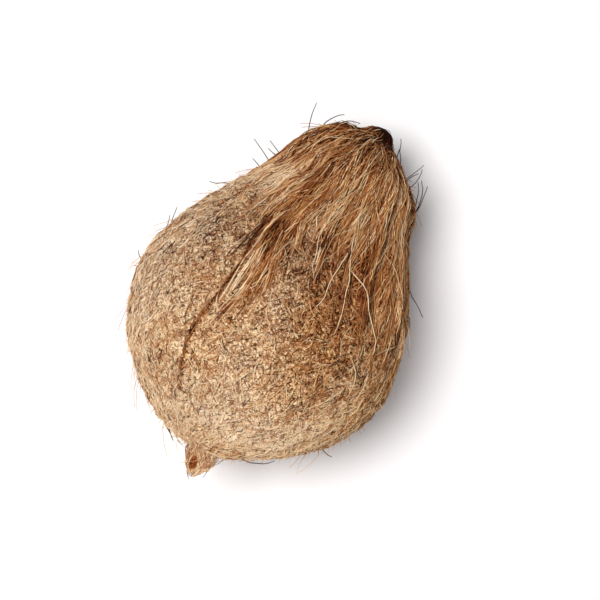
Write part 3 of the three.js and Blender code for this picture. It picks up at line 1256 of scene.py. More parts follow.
@dataclass
class LyingFibres:
    """Fibres that lie on the ground, in layers. Its kinds say where they start and stop."""

    form: NutForm
    colouring: Colouring
    pale_side: float = 1.0
    scatter_steps: int = 800
    scatter_spare: int = 6
    lowest: float = 0.004
    highest: float = 0.985
    least_length: float = 0.5
    bow: tuple[float, float] = (0.12, 0.9)
    sunk: float = 0.05
    taper: float = 0.5
    end_glow: float = 0.05
    glow_from: float = 0.7
    warmth_spread: float = 0.15

    def starts(
        self, share: np.ndarray, flow: np.ndarray, rng: np.random.Generator
    ) -> np.ndarray:
        """Which of the scattered starts are kept."""
        return np.ones(share.shape, bool)

    def stops(self, flow: np.ndarray, rng: np.random.Generator) -> np.ndarray:
        """The share that each fibre may not run below."""
        return np.full(flow.shape, self.lowest)

    def freedom(self, share: np.ndarray, flow: np.ndarray) -> np.ndarray:
        """How freely the fibres slant, from 0 where all lie along the nut to 1."""
        return np.ones(share.shape)

    def scatter(self, layer: Layer, rng: np.random.Generator) -> tuple[np.ndarray, np.ndarray]:
        """Starts spread evenly over the area of the kept places.

        Random numbers are read off the running sum of the girth, so that more start where it is
        greater. Spare ones are drawn for those that are not kept.

        Args:
            layer: the layer, for its count.
            rng: the source of random numbers.

        Returns:
            The shares and the flows.
        """
        shares = np.linspace(0, 1, self.scatter_steps)
        girth = self.form.outline_at(shares)[0][:, 1]
        reach = np.cumsum(girth) / girth.sum()
        share = np.interp(rng.random(self.scatter_spare * layer.count), reach, shares)
        flow = rng.uniform(-math.pi, math.pi, share.size)
        kept = self.starts(share, flow, rng)
        return share[kept][: layer.count], flow[kept][: layer.count]

    def gather(self, share: np.ndarray, flow: np.ndarray) -> np.ndarray:
        """The flow of each point of a fibre, once drawn into a lock. Felt has none."""
        return flow

    def lay(self, layer: Layer) -> Bundle:
        """Lays each fibre of a layer as short steps over the ground.

        Each step turns a little more by the fibre's curl. Its part along the nut is divided by
        the outline's length, and its part round the nut by the girth there. The middle of a
        fibre rises as half a sine, its ends are sunk, and it tapers with the square of the way.
        Its tone strays from the coat's, to the pale side by less or as much as to the dark side,
        and its end is a little paler than its start.

        Args:
            layer: the layer.

        Returns:
            The fibres.
        """
        rng = np.random.default_rng(layer.seed)
        share, flow = self.scatter(layer, rng)
        number = share.size
        part = np.linspace(0, 1, layer.steps)
        turn = (rng.normal(layer.drift, layer.slant, number) * self.freedom(share, flow))[:, None]
        turn = turn + layer.curl * rng.normal(0, 1, number)[:, None] * part
        room = (share - self.stops(flow, rng)) * self.form.outline_length
        room = np.maximum(room, self.least_length)
        length = np.clip(rng.uniform(*layer.length, number), self.least_length, room)
        stride = (length / (layer.steps - 1))[:, None]
        down = np.cumsum(stride * np.cos(turn), 1) - stride * np.cos(turn)
        shares = share[:, None] - down / self.form.outline_length
        shares = np.clip(shares, self.lowest, self.highest)
        aside = np.cumsum(stride * np.sin(turn) / self.form.girth(shares), 1)
        flows = self.gather(shares, flow[:, None] + aside)
        rise = rng.uniform(*layer.rise, number)[:, None]
        lift = rise * np.sin(math.pi * np.clip(part, *self.bow)) - self.sunk
        radii = rng.uniform(*layer.radius, number)[:, None] * (1 - self.taper * part**2)
        tone, warmth = self.colouring.at(shares, flows)
        drawn = rng.normal(0, 1, number)[:, None]
        drawn = np.where(drawn > 0, self.pale_side * drawn, drawn)
        own = layer.tone_shift + layer.tone_spread * drawn
        if layer.speck_shade:
            own = own - layer.speck_shade * self.colouring.speckled(shares, flows)
        warmth = warmth.mean(1) + self.warmth_spread * rng.normal(0, 1, number)
        glow = self.end_glow * (part - self.glow_from)
        return Bundle(self.form.ground(shares, flows, lift), radii, tone + own + glow, warmth)


@dataclass
class Felt(LyingFibres):
    """The short, matted fibres of the felt below the apron's edge."""

    pale_side: float = 0.7
    layers: tuple[Layer, ...] = (
        Layer(
            "felt_curls", seed=2, count=9600, steps=4, length=(2.4, 6.0), radius=(0.11, 0.19),
            rise=(0.2, 0.6), slant=1.0, curl=1.5, tone_spread=0.36,
        ),
        Layer(
            "felt_worms", seed=8, count=4400, steps=5, length=(4, 9), radius=(0.1, 0.18),
            rise=(0.3, 0.8), slant=0.8, curl=1.8, tone_shift=0.04, tone_spread=0.34,
        ),
        Layer(
            "felt_specks", seed=1, count=7000, steps=2, length=(0.8, 2.0), radius=(0.12, 0.25),
            rise=(0.5, 0.8), slant=1.5, curl=0, tone_spread=0.2, speck_shade=0.9,
        ),
        Layer(
            "felt_threads", seed=3, count=420, steps=8, length=(8, 20), radius=(0.12, 0.18),
            rise=(0.5, 1.0), slant=0.45, curl=1.1, tone_shift=0.15, tone_spread=0.1,
        ),
    )
    least_height: float = 0.9
    bared: float = 0.9
    end_freedom: float = 0.3
    end_fade: tuple[float, float] = (0.16, 0.42)
    flank_order: float = 0.6
    flank_fade: tuple[float, float] = (0.8, 0.97)

    def starts(
        self, share: np.ndarray, flow: np.ndarray, rng: np.random.Generator
    ) -> np.ndarray:
        """Keeps what the tuft leaves bare, off the pits and at the least height over the table.

        Args:
            share: the share of the outline.
            flow: the angle round the nut that a fibre keeps.
            rng: the source of random numbers.

        Returns:
            True for each start that is kept.
        """
        level = self.form.skin(share, flow, 0.0)
        chance = (1 - self.bared * self.form.covered(share, flow)) * (1 - self.form.pits(level))
        return (rng.random(share.size) < chance) & (level[..., 2] > self.least_height)

    def freedom(self, share: np.ndarray, flow: np.ndarray) -> np.ndarray:
        """The fibres lie along the nut at its round end and on its flanks, else every way.

        Args:
            share: the share of the outline.
            flow: the angle round the nut that a fibre keeps.

        Returns:
            From 0 where all lie along the nut to 1.
        """
        flank = smoothstep(np.abs(np.sin(flow)), *self.flank_fade)
        free = self.end_freedom + (1 - self.end_freedom) * smoothstep(share, *self.end_fade)
        return free * (1 - self.flank_order * flank)


@dataclass
class Tuft(LyingFibres):
    """The long combed fibres of the tuft, which end in a fringe at the apron's edge."""

    layers: tuple[Layer, ...] = (
        # The under layer is darker than the top ones: painted shade under the fibres that lie over
        # it.
        Layer(
            "tuft_under", seed=4, count=5000, steps=6, length=(10, 30), radius=(0.11, 0.22),
            rise=(0.1, 0.5), slant=0.14, curl=0.06, tone_shift=-0.08, tone_spread=0.3,
        ),
        Layer(
            "tuft_top", seed=5, count=3500, steps=8, length=(12, 36), radius=(0.11, 0.2),
            rise=(0.3, 1.0), slant=0.18, curl=0.06, tone_shift=0.02, tone_spread=0.34,
        ),
        Layer(
            "tuft_cross", seed=9, count=600, steps=8, length=(14, 40), radius=(0.1, 0.17),
            rise=(0.8, 1.4), slant=0.2, curl=0.1, tone_shift=0.18, tone_spread=0.2, drift=0.3,
        ),
    )
    locks: int = 46
    lock_wander: float = 0.4
    gathering: float = 0.35
    fringe: float = 0.06
    last_start: float = 0.975

    def starts(
        self, share: np.ndarray, flow: np.ndarray, rng: np.random.Generator
    ) -> np.ndarray:
        """Keeps the tuft above the apron's edge, up to the knob's end."""
        return (share > self.form.apron(flow) + 0.02) & (share < self.last_start)

    def stops(self, flow: np.ndarray, rng: np.random.Generator) -> np.ndarray:
        """A little above the apron's edge, passed by most fibres by a little, by a few by much."""
        return self.form.apron(flow) + 0.035 - rng.exponential(self.fringe, flow.size)

    def gather(self, share: np.ndarray, flow: np.ndarray) -> np.ndarray:
        """Draws the fibres together into locks towards the apron's edge.

        Args:
            share: the share of the outline.
            flow: the angle round the nut that a fibre keeps.

        Returns:
            The flows, drawn by a step towards the middles of the locks.
        """
        pitch = FULL_TURN / self.locks
        wander = self.lock_wander * pitch * np.sin(5 * flow)
        middle = np.round((flow + wander) / pitch) * pitch - wander
        edge = self.form.apron(flow)
        drawn = self.gathering * (1 - smoothstep(share, edge - 0.02, edge + 0.1))
        return flow + drawn * (middle - flow)


@dataclass
class PaleStrands:
    """The pale strands that stand out most, each through its own shares and degrees."""

    form: NutForm
    bold: tuple[Rows, ...] = (
        ((0.64, 20), (0.607, 20.9), (0.553, 23.4), (0.488, 26.2), (0.393, 23.6)),
        ((0.548, 21.3), (0.496, 23.8), (0.463, 24.1), (0.434, 23.1)),
    )
    clear: tuple[Rows, ...] = (
        ((0.7, -15), (0.59, -21.3), (0.55, -21), (0.514, -20.2), (0.454, -20.5)),
        ((0.6, -22), (0.565, -29.3), (0.51, -39.8), (0.474, -43)),
        ((0.632, -18.5), (0.584, -15.3), (0.546, -12.1), (0.516, -11), (0.49, -8.7)),
    )
    slim: tuple[Rows, ...] = (
        ((0.884, -29.7), (0.801, -8.8), (0.752, 0.8), (0.684, 6), (0.623, 9.4), (0.571, 13.8)),
        ((0.772, -0.5), (0.708, 2.9), (0.664, 6.3), (0.622, 8.8)),
        ((0.653, -0.3), (0.621, -1.5), (0.583, -3.2), (0.556, -2.7), (0.535, -4.7)),
        ((0.598, 0), (0.557, 2.8), (0.536, 2.9)),
        ((0.614, 4.9), (0.556, 9.1), (0.518, 12)),
        ((0.589, 7.7), (0.552, 12.2), (0.519, 14.9)),
        ((0.87, -32.9), (0.789, -13.4), (0.743, -4), (0.674, 1.7), (0.612, 5.8), (0.56, 10.9)),
        ((0.704, -6.2), (0.664, -6.2), (0.633, -7.6)),
        ((0.74, -14.2), (0.696, -15.2), (0.658, -19.1)),
        ((0.845, -24.7), (0.797, -23.8), (0.777, -25.8)),
        ((0.965, 11), (0.917, 23.5), (0.876, 22.1)),
        ((0.956, -11), (0.879, 6.2), (0.818, 10.1)),
        ((0.678, -35.8), (0.655, -44.9), (0.624, -51.7), (0.599, -56), (0.556, -58.5)),
        ((0.77, -45.5), (0.727, -53.6), (0.678, -53.3)),
        ((0.713, -59.1), (0.655, -63.8), (0.594, -63)),
        ((0.521, -57.8), (0.5, -49.9), (0.479, -44.7)),
        ((0.467, -23.4), (0.437, -27.9)),
        ((0.446, -32), (0.429, -37.8), (0.402, -42.5), (0.376, -44.9)),
        ((0.384, -20.4), (0.351, -23.9), (0.325, -26.4)),
        ((0.291, -20.2), (0.299, -24.7), (0.313, -27.6)),
        ((0.457, 24.9), (0.427, 23.8), (0.389, 21.6)),
        ((0.344, 27.3), (0.337, 20.3), (0.34, 14.9)),
        ((0.337, 7), (0.322, 1.3), (0.31, 0.8)),
        ((0.5, 74), (0.46, 70.4), (0.405, 65.8), (0.357, 63.1)),
        ((0.475, 70.6), (0.418, 69), (0.386, 67.9), (0.356, 64.1)),
        ((0.489, 46.8), (0.476, 44.8), (0.457, 45.4)),
    )
    fibres_each: int = 3
    steps: int = 16
    spread: float = 0.24
    weave: float = 0.8
    weave_turn: float = 4.0
    bold_radius: float = 0.26
    slim_radius: float = 0.15
    start_girth: float = 1.1
    taper: float = 0.4
    radius_range: tuple[float, float] = (0.7, 1.2)
    bold_tone: float = 1.06
    slim_tone: float = 0.88
    end_shade: float = 0.2
    tone_spread: float = 0.07
    lift: float = 0.15
    lift_spread: float = 0.35
    end_depth: float = 1.4
    warmth: float = 0.6
    seed: int = 31

    def build(self) -> Bundle:
        """Lays a few fibres along each bold path and one along each other path, above the rest.

        The fibres of one path lie beside it at distances drawn at random, and weave as a sine.
        Both ends dive under the skin with the eighth power of the way from the middle.

        Returns:
            The strands.
        """
        rng = np.random.default_rng(self.seed)
        part = np.linspace(0, 1, self.steps)
        paths = [knots for knots in self.bold for _ in range(self.fibres_each)]
        paths.extend(self.clear)
        lines = smooth_paths((*paths, *self.slim), part)
        number = len(lines)
        share, flow = lines[..., 0], np.radians(lines[..., 1])
        phase = FULL_TURN * rng.random(number)[:, None]
        woven = self.weave * np.sin(self.weave_turn * part + phase)
        aside = self.spread * (rng.normal(0, 1, number)[:, None] + woven)
        lift = self.lift + self.lift_spread * rng.random(number)[:, None]
        lift = lift - self.end_depth * (2 * part - 1) ** 8
        places = self.form.skin(share, flow + aside / self.form.girth(share), lift)
        slim = (np.arange(number) >= len(paths))[:, None]
        radii = np.where(slim, self.slim_radius, self.bold_radius)
        radii = radii * (self.start_girth - self.taper * part)
        radii = radii * rng.uniform(*self.radius_range, number)[:, None]
        shade = self.end_shade * (2 * part - 1) ** 4
        tone = np.where(slim, self.slim_tone, self.bold_tone) - shade
        tone = tone + self.tone_spread * rng.normal(0, 1, number)[:, None]
        return Bundle(places, radii, tone, np.full(number, self.warmth))


class Lean(Enum):
    """How far a hair leans towards the round end, as a share of its length."""

    TO_ROUND_END = 1.0
    UPRIGHT = 0.35


@dataclass(frozen=True)
class StandingHairs:
    """Hairs that stand off the coat on all sides."""

    form: NutForm
    colouring: Colouring
    name: str
    seed: int
    count: int
    steps: int
    length: tuple[float, float]
    radius: tuple[float, float]
    rise: tuple[float, float]
    share: tuple[float, float] = (0.02, 0.93)
    lean: Lean = Lean.TO_ROUND_END
    root_depth: float = 0.4
    bend_spread: float = 0.4
    taper: float = 0.4
    tone_spread: float = 0.12
    warmths: tuple[float, float] = (0.2, 0.8)

    def build(self) -> Bundle:
        """Grows each hair out of the coat in a bow.

        It climbs outwards with the square root of the way along it, runs along the nut in even
        steps, and bends to one side with the square of the way.

        Returns:
            The hairs.
        """
        rng = np.random.default_rng(self.seed)
        share = rng.uniform(*self.share, self.count)
        flow = rng.uniform(-math.pi, math.pi, self.count)
        outward, back, across = (d[:, None] for d in self.form.axes(share, flow))
        foot = self.form.ground(share, flow, 0.0)[:, None]
        part = np.linspace(0, 1, self.steps)[None, :, None]
        length = rng.uniform(*self.length, self.count)[:, None, None]
        climb = rng.uniform(*self.rise, self.count)[:, None, None] * length
        bend = rng.normal(0, self.bend_spread, self.count)[:, None, None] * length
        run = self.lean.value * length
        outwards = outward * (-self.root_depth + (self.root_depth + climb) * np.sqrt(part))
        paths = foot + outwards + back * run * part + across * bend * part**2
        radii = rng.uniform(*self.radius, self.count)[:, None] * (1 - self.taper * part[..., 0])
        tone = self.colouring.at(share, flow)[0] + rng.normal(0, self.tone_spread, self.count)
        tone = np.repeat(tone[:, None], self.steps, axis=1)
        return Bundle(paths, radii, tone, rng.uniform(*self.warmths, self.count))


@dataclass
class PlacedHairs:
    """The stray hairs along the outline that stand out most, each through its own places."""

    form: NutForm
    steps: int = 9
    radius: float = 0.26
    taper: float = 0.4
    tone: float = 0.06
    warmth: float = 0.2
    hairs: tuple[Rows, ...] = (
        ((0.838, 86.8, -0.6), (0.857, 86.4, 6.8), (0.87, 86.4, 10.4)),
        ((0.865, 86.4, 0.2), (0.895, 86.8, 3.4), (0.912, 87.4, 4.4)),
        ((0.9, 87.4, 0.6), (0.926, 88.1, 3.2), (0.95, 90.2, 3.8)),
        ((0.744, 89.0, -0.6), (0.745, 89.0, 6.2), (0.743, 89.0, 12.4)),
        ((0.771, 88.7, -0.6), (0.774, 88.6, 3.5), (0.777, 88.6, 8.0)),
        ((0.765, 89.5, -0.6), (0.764, 89.6, 3.0), (0.762, 89.6, 7.0)),
        ((0.725, 88.9, -0.6), (0.72, 88.9, 3.1), (0.717, 88.9, 5.6)),
        ((0.66, 87.8, -0.6), (0.632, 87.8, 2.6), (0.62, 88.0, 5.0)),
        ((0.48, 94.0, -0.6), (0.516, 93.2, 2.0), (0.54, 91.9, 5.0)),
        ((0.47, 94.3, -0.6), (0.5, 93.9, 1.8), (0.52, 93.0, 4.0)),
        ((0.415, 93.0, -0.6), (0.423, 93.4, 2.0), (0.431, 93.7, 3.4)),
        ((0.872, -93.5, -0.8), (0.886, -93.3, 4.4), (0.898, -93.2, 13.0)),
        ((0.85, -93.5, -0.8), (0.863, -93.6, 3.4), (0.875, -93.6, 8.1), (0.893, -93.3, 11.6)),
        ((0.813, -92.5, -0.8), (0.826, -92.9, 4.0), (0.846, -93.4, 6.5), (0.873, -93.6, 8.6)),
        ((0.872, -93.6, -0.8), (0.889, -93.4, 0.6), (0.898, -93.2, 2.6)),
        ((0.83, -93.0, -0.8), (0.847, -93.4, 0.8), (0.858, -93.6, 4.2)),
        ((0.917, -92.4, -0.5), (0.941, -91.0, 2.9), (0.972, -89.0, 2.9)),
        ((0.88, -93.0, -0.6), (0.915, -91.7, 3.2), (0.965, -89.1, 3.0)),
        ((0.861, -93.6, -0.8), (0.877, -93.6, 2.4), (0.886, -93.4, 6.2), (0.888, -93.4, 9.5)),
        ((0.796, -92.0, -0.6), (0.827, -92.9, 6.2), (0.861, -93.6, 11.4)),
        ((0.79, -92.2, -0.8), (0.838, -93.2, 7.4), (0.874, -93.6, 10.1)),
        ((0.75, -91.3, -0.6), (0.793, -91.9, 2.2), (0.811, -92.5, 2.6)),
        ((0.69, -91.9, -0.6), (0.642, -92.2, 5.0), (0.604, -91.5, 9.0)),
        ((0.65, -92.2, -0.6), (0.618, -91.9, 2.5), (0.579, -90.4, 4.3)),
        ((0.078, 85.5, -0.5), (0.06, 85.5, 0.4), (0.047, 85.8, 1.4)),
        ((0.045, 85.9, -0.5), (0.034, 86.2, 1.4), (0.022, 86.8, 2.0)),
        ((0.065, 85.5, -0.6), (0.049, 85.7, 1.4), (0.042, 85.9, 2.4)),
        ((0.08, -94.2, -0.6), (0.131, -92.8, 2.5), (0.165, -91.1, 1.4)),
        ((0.262, -89.6, -0.6), (0.269, -89.6, 2.3), (0.276, -89.7, 4.0)),
    )

    def build(self) -> Bundle:
        """Draws each hair as a smooth curve through its places of share, degrees and height.

        Returns:
            The hairs.
        """
        lines = smooth_paths(self.hairs, np.linspace(0, 1, self.steps))
        paths = self.form.skin(lines[..., 0], np.radians(lines[..., 1]), lines[..., 2])
        return Bundle.even(paths, self.radius, self.taper, self.tone, self.warmth)


@dataclass
class HuskScrap:
    """The torn scrap of husk at the round end: a ragged flap with a dark pocket in its top.

    Its places are distances from the round end along the axis, to the side and upwards.
    """

    form: NutForm
    shading: CoirShading
    root: float = 5.0
    length: float = 8.8
    side: float = -3.7
    half_width: float = 5.6
    half_depth: float = 3.0
    taper_from: float = 0.38
    side_taper: tuple[float, float] = (0.8, 1.9)
    depth_taper: tuple[float, float] = (0.75, 1.4)
    veer: float = 0.5
    height: float = 1.2
    climb: float = 1.4
    jag_waves: Rows = ((0.05, 1, 7), (0.035, 0, 13), (0.02, 0, 23))
    rag_waves: Rows = ((0.07, 0, 5, 4), (0.05, 0, 11, -7))
    crumb_height: float = 0.25
    crumb_cell: float = 0.9
    pocket_at: tuple[float, float] = (-5.0, -2.6)
    pocket_half: tuple[float, float] = (2.8, 1.5)
    pocket_turn: float = math.radians(14)
    pocket_depth: float = 2.0
    pocket_clearance: float = 0.35
    sides: int = 84
    rings: int = 56
    fibres: int = 460
    fibre_start: tuple[float, float] = (0.25, 0.85)
    fibre_span: tuple[float, float] = (0.12, 0.4)
    fibre_radius: tuple[float, float] = (0.09, 0.18)
    fibre_warmth: tuple[float, float] = (0.2, 0.9)
    fibre_turn: float = 0.6
    fibre_swell: tuple[float, float] = (1.03, 0.2)
    fibre_steps: int = 5
    farthest: float = 1.06
    taper: float = 0.4
    seed: int = 51
    tone: float = 0.74
    tone_spread: float = 0.3
    end_glow: float = 0.1
    warmth: float = 0.45
    pocket_shade: float = 0.5
    pocket_warming: float = 0.55
    grain_size: tuple[float, float] = (7.0, 2.2)
    contrast: float = 1.3
    rim: Rows = ((-2.4, -7.4, 2.6), (-6.3, -5.8, 2.9), (-9.2, -4.2, 2.5))
    rim_fibres: int = 6
    rim_gap: float = 0.34
    rim_radius: float = 0.24
    rim_closing: float = 0.75
    rim_droop: float = 0.3
    rim_tone: float = 0.95
    rim_tone_step: float = 0.05
    rim_warmth: float = 0.35
    bristles: tuple[Rows, ...] = (
        ((-6.5, -1.4, 1.8), (-9.6, -2.4, 1.9), (-11.7, -4.7, 1.6)),
        ((-3.0, -8.4, 1.0), (-5.2, -9.1, 1.3), (-8.6, -8.8, 1.4)),
    )
    bristle_radius: float = 0.2
    bristle_taper: float = 0.5
    bristle_tone: float = 0.25
    bristle_warmth: float = 0.2
    steps: int = 8

    def build(self) -> None:
        """Builds the flap as one closed skin from its root in the nut to its torn point."""
        part = np.linspace(0, 1, self.rings)[:, None]
        turn = -FULL_TURN * np.arange(self.sides) / self.sides
        points, pocket = self.surface(part, turn, 1.0)
        parts = skin_parts(points, points[0].mean(0), points[-1].mean(0))
        finish = GroundFinish("scrap_ground", self.shading, contrast=self.contrast)
        piece = parts.piece("husk_scrap", finish.material())
        part, turn = (a.ravel() for a in np.broadcast_arrays(part, turn))
        part, turn, pocket = np.r_[0, part, 1], np.r_[0, turn, 0], np.r_[0, pocket.ravel(), 0]
        # The pocket is darker and redder: partly the husk's own red-brown, partly painted shade in
        # its hollow.
        tone = self.tone + self.end_glow * smoothstep(part, 0.8, 1.0) - self.pocket_shade * pocket
        warmth = self.warmth + self.pocket_warming * pocket
        hue = np.stack([tone, warmth, np.full(part.size, 0.5)], -1)
        radius, length = self.grain_size
        grain = np.stack([radius * np.cos(turn), radius * np.sin(turn), length * part], -1)
        dress(piece, hue, grain)
        LOG.info("husk_scrap: %d faces", len(piece.data.polygons))

    def surface(
        self, part: np.ndarray, turn: np.ndarray, swell: float | np.ndarray
    ) -> tuple[np.ndarray, np.ndarray]:
        """Places on the flap.

        Its girth shrinks with a power of the way past the taper's start. Sines of the turn make
        its end jagged and its sides ragged. The pocket is a steep-sided bell, the exponential of
        minus the fourth power of the distance from its middle in an ellipse, sunk in the top.

        Args:
            part: the way out from the root, from 0 to 1.
            turn: the angle round it, from +Y downwards.
            swell: the share of its girth.

        Returns:
            The points by part and by turn, and how deep in the pocket each lies, from 0 to 1.
        """
        past = np.clip((part - self.taper_from) / (1 - self.taper_from), 0, 1)
        reach = part * (1 + smoothstep(part, 0.3, 1.0) * waves(self.jag_waves, turn))
        ragged = swell * (1 + waves(self.rag_waves, turn, part))
        (side_loss, side_power), (depth_loss, depth_power) = self.side_taper, self.depth_taper
        along = self.root - (self.root + self.length) * reach
        side = self.side - self.veer * part
        side = side + self.half_width * (1 - side_loss * past**side_power) * ragged * np.cos(turn)
        depth = self.half_depth * (1 - depth_loss * past**depth_power) * ragged
        up = self.height + self.climb * part - depth * np.sin(turn)
        cos, sin = math.cos(self.pocket_turn), math.sin(self.pocket_turn)
        ahead, aside = along - self.pocket_at[0], side - self.pocket_at[1]
        lengthwise = (ahead * cos + aside * sin) / self.pocket_half[0]
        crosswise = (aside * cos - ahead * sin) / self.pocket_half[1]
        pocket = np.exp(-((lengthwise**2 + crosswise**2) ** 2)) * smoothstep(-np.sin(turn), 0, 0.3)
        points = self.form.place(along, side, up - self.pocket_depth * pocket)
        crumbs = lattice_noise(points, self.crumb_cell, 41)[..., None]
        return points + self.crumb_height * crumbs, pocket

    def hairs(self) -> Bundle:
        """The fibres that lie along the flap, round its pocket, and fray past its end.

        Each keeps to the flap's surface, turns evenly round it, and swells off it as half a sine.

        Returns:
            The fibres that stay clear of the pocket.
        """
        rng = np.random.default_rng(self.seed)
        part = np.linspace(0, 1, self.fibre_steps)
        start = rng.uniform(*self.fibre_start, self.fibres)[:, None]
        span = rng.uniform(*self.fibre_span, self.fibres)[:, None]
        way = np.clip(start + span * part, 0.0, self.farthest)
        turn = rng.uniform(-math.pi, math.pi, self.fibres)[:, None]
        turn = turn + self.fibre_turn * rng.normal(0, 1, self.fibres)[:, None] * part
        least, more = self.fibre_swell
        swell = least + more * rng.random(self.fibres)[:, None] * np.sin(math.pi * part)
        points, pocket = self.surface(way, turn, swell)
        clear = pocket.max(1) < self.pocket_clearance
        radii = rng.uniform(*self.fibre_radius, self.fibres)[:, None] * (1 - self.taper * part)
        tone = self.tone + self.tone_spread * rng.normal(0, 1, self.fibres)[:, None]
        tone = np.repeat(tone, part.size, axis=1)
        warmth = rng.uniform(*self.fibre_warmth, self.fibres)
        return Bundle(points[clear], radii[clear], tone[clear], warmth[clear])

    def torn_rim(self) -> Bundle:
        """The pale rim along the -Y edge of the flap, as thick fibres side by side.

        The gap between them closes with the square of the way out, and the outer ones lie lower
        by the square of their distance from the middle.

        Returns:
            The fibres of the rim.
        """
        part = np.linspace(0, 1, self.steps)
        line = smooth_path(np.array(self.rim), part)
        order = np.arange(self.rim_fibres)[:, None]
        beside = self.rim_gap * (order - (self.rim_fibres - 1) / 2)
        beside = beside * (1 - self.rim_closing * part**2)
        up = line[:, 2] - self.rim_droop * beside**2
        paths = self.form.place(line[:, 0], line[:, 1] + beside, up)
        tone = self.rim_tone - self.rim_tone_step * order
        return Bundle.even(paths, self.rim_radius, self.taper, tone, self.rim_warmth)

    def stiff_bristles(self) -> Bundle:
        """The two dark bristles that stick out past the scrap.

        Returns:
            The bristles.
        """
        lines = smooth_paths(self.bristles, np.linspace(0, 1, self.steps))
        paths = self.form.place(lines[..., 0], lines[..., 1], lines[..., 2])
        return Bundle.even(
            paths, self.bristle_radius, self.bristle_taper, self.bristle_tone, self.bristle_warmth
        )


@dataclass(frozen=True)
class Lamp:
    """A round soft light, aimed at the nut from a bearing and an elevation in degrees.

    The bearing counts from the view's right. Its size and distance are in metres.
    """

    name: str
    bearing: float
    elevation: float
    size: float
    watts: float
    colour: tuple[float, float, float]
    distance: float = 0.9

    def hang(self, aim: tuple[float, float, float], view_roll: float) -> None:
        """Adds the light to the scene.

        Args:
            aim: what it points at, in metres.
            view_roll: the bearing of the view's right from +X.
        """
        light = bpy.data.lights.new(self.name, "AREA")
        light.shape = "DISK"
        light.size = self.size
        light.energy = self.watts
        light.color = self.colour
        lamp = bpy.data.objects.new(self.name, light)
        bearing, elevation = view_roll + math.radians(self.bearing), math.radians(self.elevation)
        flat = self.distance * math.cos(elevation)
        lamp.location = (
            aim[0] + flat * math.cos(bearing),
            aim[1] + flat * math.sin(bearing),
            aim[2] + self.distance * math.sin(elevation),
        )
        lamp.rotation_euler = (math.pi / 2 - elevation, 0, bearing + math.pi / 2)
        bpy.context.scene.collection.objects.link(lamp)


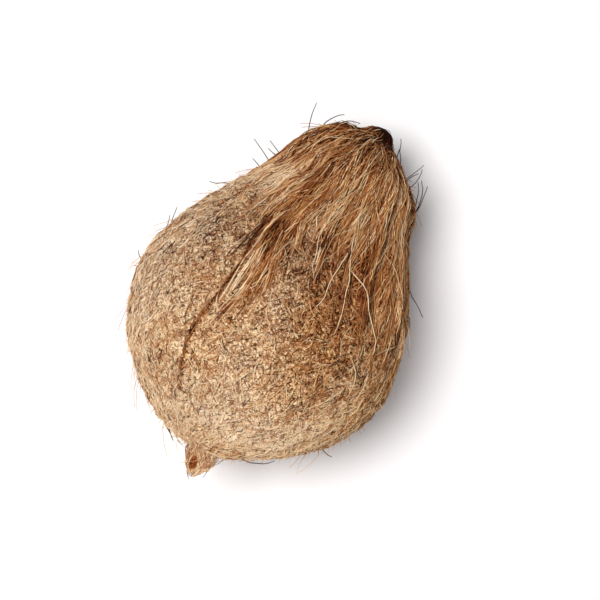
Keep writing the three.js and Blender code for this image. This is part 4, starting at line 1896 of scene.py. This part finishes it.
@dataclass
class Studio:
    """The white table, the soft lights and the camera above the nut. Places are in metres.

    The aim is the middle of the picture, at the height of the nut's axis. The roll turns the
    picture's right, from which the lamps' bearings count, round from +X.
    """

    aim: tuple[float, float, float] = (0.0164, -0.0057, 0.0516)
    distance: float = 0.5525
    roll: float = math.radians(-59.04)
    lens: float = 85.0
    sensor_mm: float = 36.0
    table_half: float = 3.0
    table_colour: tuple[float, ...] = (0.93, 0.92, 0.94, 1)
    table_roughness: float = 0.9
    world_colour: tuple[float, ...] = (0.97, 0.975, 1, 1)
    world_strength: float = 0.22
    lamps: tuple[Lamp, ...] = (
        Lamp("key", bearing=157, elevation=76, size=0.38, watts=8.9, colour=(1.0, 0.985, 0.96)),
        Lamp("fill", bearing=255, elevation=20, size=0.6, watts=2.4, colour=(1.0, 0.98, 0.95)),
    )

    def build(self) -> None:
        """Sets up the floor, the lights and the camera."""
        self.floor()
        self.lights()
        self.camera()
        LOG.info("studio built")

    def floor(self) -> None:
        """Lays the white table as one square."""
        mesh = bpy.data.meshes.new("table")
        half = self.table_half
        corners = [(-half, -half, 0), (half, -half, 0), (half, half, 0), (-half, half, 0)]
        mesh.from_pydata(corners, [], [(0, 1, 2, 3)])
        material = bpy.data.materials.new("white_table")
        material.use_nodes = True
        shader = material.node_tree.nodes["Principled BSDF"]
        shader.inputs["Base Color"].default_value = self.table_colour
        shader.inputs["Roughness"].default_value = self.table_roughness
        mesh.materials.append(material)
        table = bpy.data.objects.new("table", mesh)
        bpy.context.scene.collection.objects.link(table)

    def lights(self) -> None:
        """Lights the world evenly and hangs the lamps."""
        scene = bpy.context.scene
        world = bpy.data.worlds.new("studio")
        world.use_nodes = True
        background = world.node_tree.nodes["Background"]
        background.inputs["Color"].default_value = self.world_colour
        background.inputs["Strength"].default_value = self.world_strength
        scene.world = world
        scene.view_settings.view_transform = "Standard"
        for lamp in self.lamps:
            lamp.hang(self.aim, self.roll)

    def camera(self) -> None:
        """Hangs the camera straight above the nut, rolled as in the photograph."""
        camera = bpy.data.cameras.new("camera")
        camera.lens = self.lens
        camera.sensor_width = self.sensor_mm
        camera.clip_start = 0.05
        holder = bpy.data.objects.new("camera", camera)
        x, y, z = self.aim
        holder.location = (x, y, z + self.distance)
        holder.rotation_euler = (0, 0, self.roll)
        bpy.context.scene.collection.objects.link(holder)
        bpy.context.scene.camera = holder


def main() -> None:
    """Builds the studio and the coconut, piece by piece."""
    logging.basicConfig(level=logging.INFO, format="%(message)s")
    Studio().build()
    form = NutForm()
    colouring = Colouring(form)
    shading = CoirShading()
    Ground(form, colouring, GroundFinish("felt_ground", shading)).build()
    scrap = HuskScrap(form, shading)
    scrap.build()
    bundles = {
        layer.name: cover.lay(layer)
        for cover in (Felt(form, colouring), Tuft(form, colouring))
        for layer in cover.layers
    }
    bundles["pale_strands"] = PaleStrands(form).build()
    fuzz = StandingHairs(
        form, colouring, "fuzz", seed=6, count=3600, steps=3, length=(1.0, 3.4),
        radius=(0.08, 0.14), rise=(0.4, 1.0), lean=Lean.UPRIGHT,
    )
    strays = StandingHairs(
        form, colouring, "strays", seed=7, count=240, steps=8, length=(5, 13),
        radius=(0.11, 0.16), rise=(0.2, 0.6), share=(0.05, 0.9),
    )
    for hairs in (fuzz, strays):
        bundles[hairs.name] = hairs.build()
    bundles["outline_hairs"] = PlacedHairs(form).build()
    bundles["scrap_fibres"] = scrap.hairs()
    bundles["scrap_rim"] = scrap.torn_rim()
    bundles["scrap_bristles"] = scrap.stiff_bristles()
    low, high = (np.array(corner) / MM for corner in cad_box)
    finish = FibreFinish("coir_fibre", shading, roughness=0.7).material()
    for name, bundle in bundles.items():
        kept = bundle.inside(low, high)
        kept.parts().piece(name, finish)
        LOG.info("%s: %d of %d fibres", name, len(kept.paths), len(bundle.paths))


if __name__ == "__main__":
    main()
